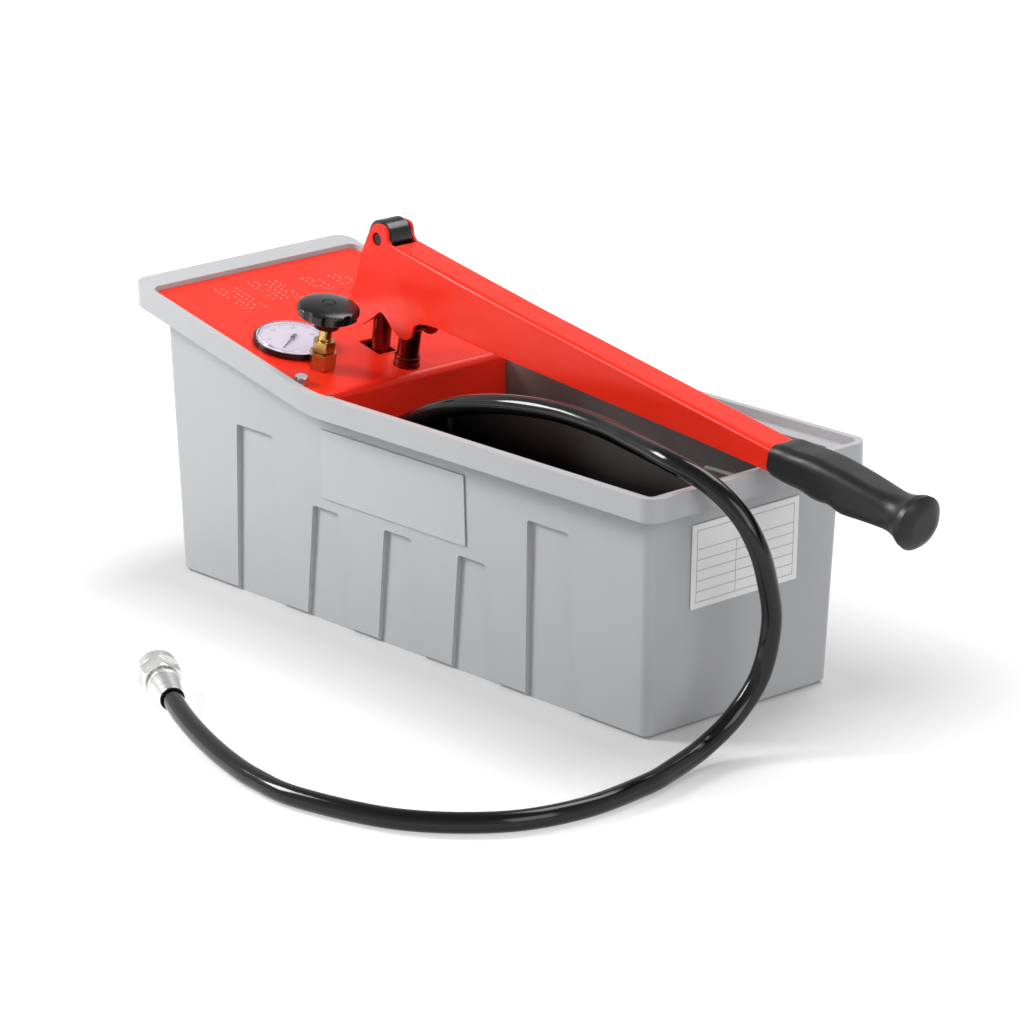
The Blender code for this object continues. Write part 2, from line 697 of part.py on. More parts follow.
def build_tank():
    """Tank with walls, floor, hollow rim and the ledge that the cover lies on."""
    under = LIP_DEPTH + LEDGE_THICKNESS
    foot = level_ring(BASE_HALF_LENGTH, BASE_HALF_WIDTH, WALL_CORNER, BASE_ROUND)
    shoulder = SKIRT_HEIGHT + SHOULDER_DROP - under
    shell = loft("tank", [
        leaned(level_ring(BASE_HALF_LENGTH - BASE_ROUND, BASE_HALF_WIDTH - BASE_ROUND, WALL_CORNER, 0.0), 0.0),
        leaned(foot, BASE_ROUND),
        leaned(below(foot, wall_ring(0.0, under), shoulder), RIM_LOW - under - shoulder),
        below(foot, wall_ring(0.0, under), shoulder - SHOULDER_HEIGHT),
        wall_ring(0.0, under),
        rim_ring(SKIRT_WALL, under),
        rim_ring(SKIRT_WALL, SKIRT_HEIGHT),
        rim_ring(0.0, SKIRT_HEIGHT),
        rim_ring(0.0, LIP_ROUND),
        rim_ring(LIP_ROUND, 0.0),
        rim_ring(LIP_WIDTH, 0.0, PUMP_END_RIM),
        rim_ring(LIP_WIDTH, LIP_DEPTH, PUMP_END_RIM),
        wall_ring(WALL_THICKNESS, LIP_DEPTH),
    ], "tank_grey")
    boolean(shell, recess_cutters("cutter_recess", 0.0, RECESS_DEPTH, 1.0))
    inner_length = BASE_HALF_LENGTH - WALL_THICKNESS
    inner_width = BASE_HALF_WIDTH - WALL_THICKNESS
    inner_corner = max(WALL_CORNER - WALL_THICKNESS, WALL_THICKNESS)
    cavity = loft("cutter_cavity", [
        level_ring(inner_length - BASE_ROUND, inner_width - BASE_ROUND, inner_corner, FLOOR_THICKNESS),
        level_ring(inner_length, inner_width, inner_corner, FLOOR_THICKNESS + BASE_ROUND),
        wall_ring(WALL_THICKNESS, LIP_DEPTH),
        wall_ring(WALL_THICKNESS, -CUT),
    ], None)
    boolean(cavity, recess_cutters("cutter_bump", WALL_THICKNESS, RECESS_DEPTH + WALL_THICKNESS, 0.0))
    boolean(shell, cavity)
    for side in (-1.0, 1.0):
        hole = lathe("cutter_ledge_hole_%s" % ("near" if side < 0.0 else "far"),
                     disc_profile(SCREW_RADIUS + GAP, -SCREW_LENGTH - CUT, CUT), None, SMALL_SEGMENTS)
        seat(hole, SCREW_ALONG, side * SCREW_ACROSS)
        boolean(shell, hole)
    return shell


def build_panels():
    """Blank panels on the front wall and on the end wall."""
    rise = RIM_LOW - LIP_DEPTH - LEDGE_THICKNESS - BASE_ROUND
    side_lean = math.atan2(SIDE_DRAFT, rise)
    end_lean = math.atan2(END_DRAFT, rise)
    name_panel = box("name_panel", (-0.5 * NAME_PANEL_WIDTH, -PANEL_THICKNESS, -0.5 * NAME_PANEL_HEIGHT),
                     (0.5 * NAME_PANEL_WIDTH, 0.0, 0.5 * NAME_PANEL_HEIGHT), "panel_white")
    face = BASE_HALF_WIDTH + (NAME_PANEL_Z - BASE_ROUND) * math.tan(side_lean) + GAP
    name_panel.matrix_world = (Matrix.Translation((NAME_PANEL_X, -face, NAME_PANEL_Z))
                               @ Matrix.Rotation(side_lean, 4, "X"))
    end_label = box("end_label", (0.0, -0.5 * END_LABEL_WIDTH, -0.5 * END_LABEL_HEIGHT),
                    (PANEL_THICKNESS, 0.5 * END_LABEL_WIDTH, 0.5 * END_LABEL_HEIGHT), "panel_white")
    face = BASE_HALF_LENGTH + (END_LABEL_Z - BASE_ROUND) * math.tan(end_lean) + GAP
    end_label.matrix_world = (Matrix.Translation((face, END_LABEL_Y, END_LABEL_Z))
                              @ Matrix.Rotation(end_lean, 4, "Y"))


def build_cover():
    """Bent cover plate: slope, rounded front bend, upright flange between the walls."""
    flange_along = (FLANGE_FACE_X - COVER_ORIGIN.x) / math.cos(SLOPE)
    turn = QUARTER_TURN - SLOPE
    tangent = BEND_RADIUS * math.tan(0.5 * turn)
    centre_along = flange_along - tangent
    rear_x = -0.5 * RIM_LENGTH + PUMP_END_RIM + GAP + COVER_THICKNESS * math.sin(SLOPE)
    rear_along = (rear_x - COVER_ORIGIN.x) / math.cos(SLOPE)

    def row_point(along, up):
        point = COVER_FRAME @ Vector((along, 0.0, up))
        return point.x, point.z

    outer, inner = [], []
    for step in range(BEND_STEPS + 1):
        angle = QUARTER_TURN - turn * step / BEND_STEPS
        for line, radius in ((outer, BEND_RADIUS), (inner, BEND_RADIUS - COVER_THICKNESS)):
            up = radius * math.sin(angle) - BEND_RADIUS
            line.append(row_point(centre_along + radius * math.cos(angle), up))
    flange_back = FLANGE_FACE_X - COVER_THICKNESS
    outline = [row_point(rear_along, -COVER_THICKNESS), row_point(rear_along, 0.0)] + outer
    outline += [(FLANGE_FACE_X, FLANGE_BOTTOM_Z), (flange_back, FLANGE_BOTTOM_Z)] + list(reversed(inner))
    cover = prism("cover_plate", outline, -COVER_HALF_WIDTH, COVER_HALF_WIDTH, "cover_red")
    front = FLANGE_FACE_X + CUT
    for side, word in ((-1.0, "near"), (1.0, "far")):
        lows = sorted((side * FLANGE_HALF_WIDTH, side * (COVER_HALF_WIDTH + CUT)))
        ear = box("cutter_flange_" + word, (EAR_FRONT, lows[0], -0.5 * RIM_WIDTH),
                  (front - COVER_ORIGIN.x + CUT, lows[1], CUT), None)
        boolean(cover, seat(ear))
        hole = lathe("cutter_cover_hole_" + word,
                     disc_profile(SCREW_RADIUS + GAP, -CUT, CUT), None, SMALL_SEGMENTS)
        boolean(cover, seat(hole, SCREW_ALONG, side * SCREW_ACROSS))
        waste = corner_outline(side)
        corner = loft("cutter_corner_" + word, [[(x, y, up) for x, y in waste] for up in (-CUT, CUT)], None)
        boolean(cover, seat(corner, rear_along + COVER_CORNER, side * (COVER_HALF_WIDTH - COVER_CORNER)))
    gland_hole = lathe("cutter_gland_hole", disc_profile(GLAND_RADIUS + GAP, -CUT, CUT), None)
    boolean(cover, seat(gland_hole, PUMP_ALONG))
    slot = box("cutter_link_slot", (COVER_SLOT_BACK, -LINK_SLOT_HALF, -CUT),
               (COVER_SLOT_FRONT, LINK_SLOT_HALF, CUT), None)
    boolean(cover, seat(slot))
    valve_hole = lathe("cutter_valve_hole", disc_profile(VALVE_SHANK_RADIUS + GAP, -CUT, CUT), None)
    boolean(cover, seat(valve_hole, VALVE_ALONG, VALVE_ACROSS))
    gauge_hole = lathe("cutter_gauge_hole", disc_profile(CASE_RADIUS + GAP, -CUT, CUT), None)
    boolean(cover, seat(gauge_hole, GAUGE_ALONG, GAUGE_ACROSS))


def corner_outline(side):
    """Waste outside the cover's rounded rear corner, counted from the corner's centre."""
    reach = COVER_CORNER + CUT
    arc = [QUARTER_TURN * (1.0 + step / CORNER_STEPS) for step in range(CORNER_STEPS + 1)]
    rounded = [(COVER_CORNER * math.cos(angle), side * COVER_CORNER * math.sin(angle)) for angle in arc]
    return rounded + [(-reach, 0.0), (-reach, side * reach), (0.0, side * reach)]


def build_cover_screws():
    """Screw, washer and nut at each front corner of the cover."""
    head_bottom = WASHER_THICKNESS + 2.0 * GAP
    nut_top = -COVER_THICKNESS - LEDGE_THICKNESS - 3.0 * GAP
    for side, word in ((-1.0, "near"), (1.0, "far")):
        place = (SCREW_ALONG, side * SCREW_ACROSS)
        head = lathe("cover_screw_" + word,
                     ((0.0, head_bottom), (0.5 * SCREW_HEAD_FLATS, head_bottom),
                      (0.5 * SCREW_HEAD_FLATS, head_bottom + SCREW_HEAD_HEIGHT),
                      (0.0, head_bottom + SCREW_HEAD_HEIGHT)), "steel_plated", flats=HEXAGON)
        shank = lathe("joint_shank_" + word,
                      disc_profile(SCREW_RADIUS, -SCREW_LENGTH, head_bottom + SCREW_RADIUS), None,
                      SMALL_SEGMENTS)
        seat(shank, *place)
        boolean(seat(head, *place), shank, "UNION")
        head.matrix_world = head.matrix_world @ Matrix.Rotation(QUARTER_TURN, 4, "Z")
        washer = lathe("cover_washer_" + word,
                       ring_profile(SCREW_RADIUS + GAP, WASHER_RADIUS, GAP, GAP + WASHER_THICKNESS),
                       "steel_plated")
        seat(washer, *place)
        nut = lathe("cover_nut_" + word,
                    disc_profile(0.5 * SCREW_HEAD_FLATS, nut_top - NUT_HEIGHT, nut_top), "steel_plated",
                    flats=HEXAGON)
        bore = lathe("cutter_nut_" + word,
                     disc_profile(SCREW_RADIUS + GAP, nut_top - NUT_HEIGHT - CUT, nut_top + CUT), None,
                     SMALL_SEGMENTS)
        seat(bore, *place)
        boolean(seat(nut, *place), bore)
        nut.matrix_world = nut.matrix_world @ Matrix.Rotation(QUARTER_TURN, 4, "Z")


def build_head():
    """Cast pump head with its gland bore, link slot, valve bore and gauge bar."""
    head = box("pump_head", (HEAD_BACK, HEAD_NEAR, HEAD_BOTTOM), (HEAD_FRONT, HEAD_FAR, HEAD_TOP),
               "steel_dark", HEAD_EDGE)
    cheeks = box("joint_cheeks", (CHEEK_BACK, -CHEEK_HALF, HEAD_BOTTOM + GAP),
                 (HEAD_BACK + CUT, CHEEK_HALF - GAP, HEAD_TOP - GAP), None)
    bar = box("joint_bar", (BAR_BACK, GAUGE_ACROSS - BAR_HALF, BAR_BOTTOM),
              (BAR_FRONT, GAUGE_ACROSS + BAR_HALF, BAR_TOP), None)
    seat(head)
    for extra in (cheeks, bar):
        boolean(head, seat(extra), "UNION")
    bore = lathe("cutter_pump_bore", (
        (0.0, HEAD_BOTTOM - CUT), (NECK_RADIUS + GAP, HEAD_BOTTOM - CUT), (NECK_RADIUS + GAP, WEB_BOTTOM),
        (ROD_RADIUS + GAP, WEB_BOTTOM), (ROD_RADIUS + GAP, SEAL_BOTTOM), (GLAND_RADIUS + GAP, SEAL_BOTTOM),
        (GLAND_RADIUS + GAP, CUT), (0.0, CUT)), None)
    boolean(head, seat(bore, PUMP_ALONG))
    slot = box("cutter_head_slot", (LINK_SLOT_BACK, -LINK_SLOT_HALF, HEAD_BOTTOM - CUT),
               (LINK_SLOT_FRONT, LINK_SLOT_HALF, CUT), None)
    boolean(head, seat(slot))
    pin_hole = cylinder_across("cutter_pin_hole", (0.0, 0.0), LINK_PIN_RADIUS + GAP, LINK_PIN_HALF + GAP,
                               None,
                               SMALL_SEGMENTS)
    along, up = in_cover_frame(*LINK_BASE)
    boolean(head, seat(pin_hole, along, 0.0, up))
    valve_bore = lathe("cutter_valve_bore",
                       disc_profile(VALVE_SHANK_RADIUS + GAP, VALVE_SHANK_BOTTOM - GAP, CUT), None)
    boolean(head, seat(valve_bore, VALVE_ALONG, VALVE_ACROSS))
    pipe_socket = lathe("cutter_pipe_socket",
                        disc_profile(PIPE_RADIUS + GAP, HEAD_BOTTOM - CUT, WEB_BOTTOM), None,
                        SMALL_SEGMENTS)
    boolean(head, seat(pipe_socket, PUMP_ALONG, DELIVERY_ACROSS))
    pin = cylinder_across("link_base_pin", (0.0, 0.0), LINK_PIN_RADIUS, LINK_PIN_HALF, "steel_plated",
                          SMALL_SEGMENTS)
    seat(pin, along, 0.0, up)


def build_cylinder():
    """Gland nut, rod seal, cylinder tube and the plunger with its piston."""
    seat(lathe("gland_nut", (
        (ROD_RADIUS + GAP, GLAND_BOTTOM), (GLAND_RADIUS, GLAND_BOTTOM), (GLAND_RADIUS, GLAND_TOP - GAP),
        (GLAND_RADIUS - GAP, GLAND_TOP), (ROD_RADIUS + GAP, GLAND_TOP)), "steel_dark"), PUMP_ALONG)
    seat(lathe("rod_seal", ring_profile(ROD_RADIUS + GAP, GLAND_RADIUS, SEAL_BOTTOM + GAP,
                                        GLAND_BOTTOM - GAP),
               "rubber_black"), PUMP_ALONG)
    seat(lathe("pump_cylinder", (
        (CYLINDER_BORE, CYLINDER_BOTTOM), (CYLINDER_RADIUS, CYLINDER_BOTTOM),
        (CYLINDER_RADIUS, HEAD_BOTTOM - GAP),
        (NECK_RADIUS, HEAD_BOTTOM - GAP), (NECK_RADIUS, WEB_BOTTOM - GAP),
        (CYLINDER_BORE, WEB_BOTTOM - GAP)),
        "brass"), PUMP_ALONG)
    along, up = in_cover_frame(*EYE_AT)
    rod = lathe("plunger_rod", (
        (0.0, SPIGOT_BOTTOM), (SPIGOT_RADIUS, SPIGOT_BOTTOM), (SPIGOT_RADIUS, SPIGOT_TOP),
        (ROD_NECK_RADIUS, SPIGOT_TOP), (ROD_NECK_RADIUS, ROD_NECK_TOP), (ROD_RADIUS, ROD_NECK_TOP),
        (ROD_RADIUS, up), (0.0, up)), "steel_plated")
    seat(rod, PUMP_ALONG)
    eye = cylinder_across("joint_eye", (0.0, 0.0), EYE_RADIUS, EYE_HALF, None)
    hole = cylinder_across("cutter_eye", (0.0, 0.0), CROSS_BAR_RADIUS + GAP, EYE_HALF + CUT, None)
    boolean(rod, seat(eye, along, 0.0, up), "UNION")
    boolean(rod, seat(hole, along, 0.0, up))
    top = SPIGOT_TOP - GAP
    seat(lathe("piston", (
        (SPIGOT_RADIUS + GAP, PISTON_BOTTOM), (PISTON_RADIUS, PISTON_BOTTOM),
        (PISTON_RADIUS, PISTON_GROOVE_BOTTOM),
        (PISTON_GROOVE_RADIUS, PISTON_GROOVE_BOTTOM), (PISTON_GROOVE_RADIUS, PISTON_GROOVE_TOP),
        (PISTON_RADIUS, PISTON_GROOVE_TOP), (PISTON_RADIUS, top), (SPIGOT_RADIUS + GAP, top)), "brass"),
        PUMP_ALONG)
    seat(lathe("piston_seal", ring_profile(PISTON_GROOVE_RADIUS + GAP, PISTON_RADIUS,
                                           PISTON_GROOVE_BOTTOM + GAP, PISTON_GROOVE_TOP - GAP),
               "rubber_black"), PUMP_ALONG)
    nut_top = PISTON_BOTTOM - GAP
    nut = lathe("piston_nut", disc_profile(0.5 * PISTON_NUT_FLATS, nut_top - PISTON_NUT_HEIGHT, nut_top),
                "steel_plated", flats=HEXAGON)
    nut_bore = lathe("cutter_piston_nut",
                     disc_profile(SPIGOT_RADIUS + GAP, nut_top - PISTON_NUT_HEIGHT - CUT, nut_top + CUT),
                     None, SMALL_SEGMENTS)
    boolean(seat(nut, PUMP_ALONG), seat(nut_bore, PUMP_ALONG))


def build_foot():
    """Foot block with suction and delivery balls, strainer, union and delivery pipe."""
    foot = box("foot_block", (-FOOT_HALF, -FOOT_HALF, FOOT_BOTTOM), (FOOT_HALF, FOOT_HALF, FOOT_TOP),
               "brass")
    seat(foot, PUMP_ALONG)
    tower = box("joint_tower", (-FOOT_HALF + GAP, FOOT_NEAR, FOOT_BOTTOM + GAP),
                (FOOT_HALF - GAP, TOWER_FAR, TOWER_TOP), None)
    boolean(foot, seat(tower, PUMP_ALONG), "UNION")
    suction = lathe("cutter_suction", (
        (0.0, FOOT_BOTTOM - CUT), (SUCTION_HOLE, FOOT_BOTTOM - CUT), (SUCTION_HOLE, SUCTION_SEAT),
        (SUCTION_CHAMBER, SUCTION_SEAT), (SUCTION_CHAMBER, FOOT_TOP + CUT), (0.0, FOOT_TOP + CUT)), None)
    boolean(foot, seat(suction, PUMP_ALONG))
    delivery = lathe("cutter_delivery", (
        (0.0, DELIVERY_POCKET_BOTTOM), (DELIVERY_POCKET, DELIVERY_POCKET_BOTTOM),
        (DELIVERY_POCKET, DELIVERY_SEAT),
        (DELIVERY_CHAMBER, DELIVERY_SEAT), (DELIVERY_CHAMBER, TOWER_TOP + CUT), (0.0, TOWER_TOP + CUT)),
        None,
        SMALL_SEGMENTS)
    boolean(foot, seat(delivery, PUMP_ALONG, DELIVERY_ACROSS))
    passage = cylinder_across("cutter_passage", (0.0, 0.0), PASSAGE_RADIUS, -0.5 * DELIVERY_ACROSS, None,
                              SMALL_SEGMENTS)
    boolean(foot, seat(passage, PUMP_ALONG, 0.5 * DELIVERY_ACROSS, PASSAGE_HEIGHT))
    suction_rest = SUCTION_SEAT + math.sqrt(SUCTION_BALL ** 2 - SUCTION_HOLE ** 2) + GAP
    delivery_rest = DELIVERY_SEAT + math.sqrt(DELIVERY_BALL ** 2 - DELIVERY_POCKET ** 2) + GAP
    for name, radius, across, height in (("suction_ball", SUCTION_BALL, 0.0, suction_rest),
                                         ("delivery_ball", DELIVERY_BALL, DELIVERY_ACROSS, delivery_rest)):
        builder = bmesh.new()
        bmesh.ops.create_uvsphere(builder, u_segments=SMALL_SEGMENTS, v_segments=SMALL_SEGMENTS // 2,
                                  radius=radius)
        seat(add_piece(name, builder, "steel_plated", FULL_TURN), PUMP_ALONG, across, height)
    union = lathe("delivery_union",
                  disc_profile(0.5 * UNION_FLATS, TOWER_TOP + GAP, TOWER_TOP + GAP + UNION_HEIGHT),
                  "brass", flats=HEXAGON)
    bore = lathe("cutter_union",
                 disc_profile(PIPE_RADIUS + GAP, TOWER_TOP - CUT, TOWER_TOP + UNION_HEIGHT + CUT), None,
                 SMALL_SEGMENTS)
    boolean(seat(union, PUMP_ALONG, DELIVERY_ACROSS), seat(bore, PUMP_ALONG, DELIVERY_ACROSS))
    seat(lathe("delivery_pipe", ring_profile(PIPE_BORE, PIPE_RADIUS, TOWER_TOP + GAP, WEB_BOTTOM - GAP),
               "steel_plated",
               SMALL_SEGMENTS), PUMP_ALONG, DELIVERY_ACROSS)
    top = FOOT_BOTTOM - GAP
    bottom = top - STRAINER_HEIGHT
    inner = STRAINER_RADIUS - STRAINER_WALL
    strainer = lathe("strainer", (
        (0.0, bottom), (STRAINER_RADIUS, bottom), (STRAINER_RADIUS, top), (inner, top),
        (inner, bottom + STRAINER_WALL), (0.0, bottom + STRAINER_WALL)), "plastic_black")
    seat(strainer, PUMP_ALONG)
    middle = 0.5 * (top + bottom)
    slots = bmesh.new()
    for step in range(STRAINER_SLOTS):
        turn = Matrix.Rotation(FULL_TURN * step / STRAINER_SLOTS, 4, "Z")
        shift = Matrix.Translation((STRAINER_RADIUS, 0.0, middle))
        stretch = Matrix.Diagonal((4.0 * STRAINER_WALL, STRAINER_SLOT_WIDTH, STRAINER_SLOT_HEIGHT, 1.0))
        bmesh.ops.create_cube(slots, size=1.0, matrix=turn @ shift @ stretch)
    boolean(strainer, seat(add_piece("cutter_strainer", slots, None), PUMP_ALONG))


def at_joint(piece, x, z):
    """Move a piece's origin to a joint axis in the lever's plane, leaving its shape in place."""
    piece.data.transform(Matrix.Translation((-x, 0.0, -z)))
    piece.location = (x, 0.0, z)
    return piece


def build_lever():
    """Pressed channel lever with its pins."""
    lever = at_joint(prism("lever", LEVER_OUTLINE, -LEVER_HALF, LEVER_HALF, "cover_red"), *EYE_AT)
    inner_half = LEVER_HALF - LEVER_SHEET
    hollow = prism("cutter_channel", (
        (LEVER_REAR_X, LEVER_FLOOR_Z), (LEVER_FRONT_X, LEVER_FLOOR_Z),
        (LEVER_FRONT_X, LEVER_TOP_FRONT_Z - LEVER_SHEET),
        (WEB_REAR_X, LEVER_TOP_REAR_Z - LEVER_SHEET), (WEB_REAR_X, EAR_TOP_Z), (LEVER_REAR_X, EAR_TOP_Z)),
        -inner_half, inner_half, None)
    boolean(lever, hollow)
    hole = cylinder_across("cutter_ears", FULCRUM, PIVOT_RADIUS + GAP, LEVER_HALF + CUT, None)
    boolean(lever, hole)
    at_joint(cylinder_across("lever_cross_bar", EYE_AT, CROSS_BAR_RADIUS, inner_half - GAP,
                             "steel_plated"), *EYE_AT)
    at_joint(cylinder_across("lever_pivot_pin", FULCRUM, PIVOT_RADIUS, PIVOT_HALF, "steel_dark"), *FULCRUM)


def build_link():
    """Swinging fulcrum link: black barrel at the top, dark rod with an eye at the bottom."""
    inner_half = LEVER_HALF - LEVER_SHEET - GAP
    top, base = Vector((FULCRUM[0], 0.0, FULCRUM[1])), Vector((LINK_BASE[0], 0.0, LINK_BASE[1]))
    down = (base - top).normalized()
    socket_start = top + down * (BARREL_RADIUS - BARREL_SOCKET)
    barrel = at_joint(cylinder_across("link_barrel", FULCRUM, BARREL_RADIUS, inner_half, "rubber_black"),
                      *FULCRUM)
    boolean(barrel, cylinder_across("cutter_barrel", FULCRUM, PIVOT_RADIUS + GAP, inner_half + CUT, None))
    socket = lathe("cutter_socket", disc_profile(LINK_RADIUS + GAP, 0.0, BARREL_RADIUS), None)
    boolean(barrel, aim(socket, socket_start, base))
    rod = lathe("link_rod", disc_profile(LINK_RADIUS, GAP, (base - socket_start).length), "steel_dark")
    aim(rod, socket_start, base)
    rod.data.transform(Matrix.Translation((0.0, 0.0, -(socket_start - top).length)).inverted())
    rod.matrix_world = Matrix.Translation(top - socket_start) @ rod.matrix_world
    boolean(rod, cylinder_across("joint_link_eye", LINK_BASE, LINK_EYE_RADIUS, LINK_EYE_HALF, None),
            "UNION")
    boolean(rod, cylinder_across("cutter_link_eye", LINK_BASE, LINK_HOLE_RADIUS, LINK_EYE_HALF + CUT, None))


def grip_ring(section):
    """Squared oval across the grip at one station."""
    centre_x, centre_z, half_width, half_height = section
    points = []
    for step in range(GRIP_STEPS):
        angle = FULL_TURN * step / GRIP_STEPS
        power = 2.0 / GRIP_SQUARENESS
        across = math.copysign(abs(math.cos(angle)) ** power, math.cos(angle)) * half_width
        rise = math.copysign(abs(math.sin(angle)) ** power, math.sin(angle)) * half_height
        points.append((centre_x - rise * math.sin(GRIP_TILT), across,
                       centre_z + rise * math.cos(GRIP_TILT)))
    return points


def build_grip():
    """Rubber grip with finger swells, pushed over the lever's front end."""
    grip = at_joint(loft("lever_grip", [grip_ring(section) for section in GRIP_SECTIONS], "rubber_black"),
                    *EYE_AT)
    half = LEVER_HALF + GAP
    boolean(grip, prism("cutter_grip_pocket", grip_pocket_outline(), -half, half, None))


def height_on(line, x):
    """Height at x of the straight line through two outline points."""
    (start_x, start_z), (end_x, end_z) = line
    return start_z + (end_z - start_z) * (x - start_x) / (end_x - start_x)


def grip_pocket_outline():
    """Section of the lever's front end, grown by the gap all round."""
    rear, front = GRIP_SECTIONS[0][0] - CUT, GRIP_POCKET_FRONT
    grow = 2.0 * GAP
    lower = [(x, height_on(LEVER_LOWER_END, x) - grow) for x in (rear, front)]
    upper = [(x, height_on(LEVER_UPPER_END, x) + grow) for x in (front, rear)]
    return lower + upper


def build_valve():
    """Release valve: hexagon body, gland, stem, wheel and cap screw."""
    place = (VALVE_ALONG, VALVE_ACROSS)
    body = lathe("valve_body", disc_profile(0.5 * VALVE_HEX_FLATS, GAP, VALVE_HEX_HEIGHT + GAP),
                 "steel_plated", flats=HEXAGON)
    shank = lathe("joint_valve_shank",
                  disc_profile(VALVE_SHANK_RADIUS, VALVE_SHANK_BOTTOM, VALVE_SHANK_RADIUS), None)
    neck_bottom = VALVE_HEX_HEIGHT - GLAND_NECK_DEPTH
    bore = lathe("cutter_valve_body", (
        (0.0, STEM_TIP), (VALVE_BORE, STEM_TIP), (VALVE_BORE, neck_bottom - GAP),
        (GLAND_NECK_RADIUS + GAP, neck_bottom - GAP), (GLAND_NECK_RADIUS + GAP, VALVE_HEX_HEIGHT + CUT),
        (0.0, VALVE_HEX_HEIGHT + CUT)), None, SMALL_SEGMENTS)
    seat(body, *place)
    boolean(body, seat(shank, *place), "UNION")
    boolean(body, seat(bore, *place))
    hex_bottom = VALVE_HEX_HEIGHT + 2.0 * GAP
    gland = lathe("valve_gland", disc_profile(0.5 * GLAND_HEX_FLATS, hex_bottom, GLAND_HEX_TOP),
                  "steel_plated", flats=HEXAGON)
    neck = lathe("joint_gland_neck",
                 disc_profile(GLAND_NECK_RADIUS, neck_bottom, hex_bottom + GLAND_NECK_DEPTH), None,
                 SMALL_SEGMENTS)
    through = lathe("cutter_gland",
                    disc_profile(STEM_RADIUS + GAP, neck_bottom - CUT, GLAND_HEX_TOP + CUT), None,
                    SMALL_SEGMENTS)
    seat(gland, *place)
    boolean(gland, seat(neck, *place), "UNION")
    boolean(gland, seat(through, *place))
    seat(lathe("valve_stem", (
        (0.0, STEM_TIP + GAP), (STEM_RADIUS, STEM_BOTTOM), (STEM_RADIUS, STEM_COLLAR_BOTTOM),
        (STEM_COLLAR_RADIUS, STEM_COLLAR_BOTTOM), (STEM_COLLAR_RADIUS, HUB_BOTTOM - GAP),
        (STEM_RADIUS, HUB_BOTTOM - GAP), (STEM_RADIUS, STEM_TOP), (0.0, STEM_TOP)), "brass",
        SMALL_SEGMENTS), *place)
    wheel = bmesh.new()
    turns = LOBE_STEPS * WHEEL_LOBES
    sections = ((HUB_BOTTOM, HUB_RADIUS, 0.0), (WHEEL_BOTTOM, HUB_RADIUS, 0.0),
                (WHEEL_BOTTOM, WHEEL_RADIUS - WHEEL_ROUND, WHEEL_LOBE),
                (WHEEL_BOTTOM + WHEEL_ROUND, WHEEL_RADIUS, WHEEL_LOBE),
                (WHEEL_TOP - WHEEL_ROUND, WHEEL_RADIUS, WHEEL_LOBE),
                (WHEEL_TOP, WHEEL_RADIUS - WHEEL_ROUND, WHEEL_LOBE),
                (DOME_TOP, DOME_RADIUS, 0.0), (DOME_TOP, CAP_RADIUS + GAP, 0.0),
                (STEM_TOP + GAP, CAP_RADIUS + GAP, 0.0), (STEM_TOP + GAP, STEM_RADIUS + GAP, 0.0),
                (HUB_BOTTOM, STEM_RADIUS + GAP, 0.0))
    rings = []
    for height, radius, lobe in sections:
        ring = []
        for step in range(turns):
            angle = FULL_TURN * step / turns
            reach = radius + lobe * math.cos(WHEEL_LOBES * angle)
            ring.append(wheel.verts.new((reach * math.cos(angle), reach * math.sin(angle), height)))
        rings.append(ring)
    for lower, upper in zip(rings, rings[1:] + rings[:1]):
        for step in range(turns):
            after = (step + 1) % turns
            wheel.faces.new((lower[step], lower[after], upper[after], upper[step]))
    seat(add_piece("valve_wheel", wheel, "plastic_black", SMOOTH), *place)
    seat(lathe("wheel_cap", disc_profile(CAP_RADIUS, STEM_TOP + 2.0 * GAP, DOME_TOP), "steel_plated",
               SMALL_SEGMENTS),
         *place)


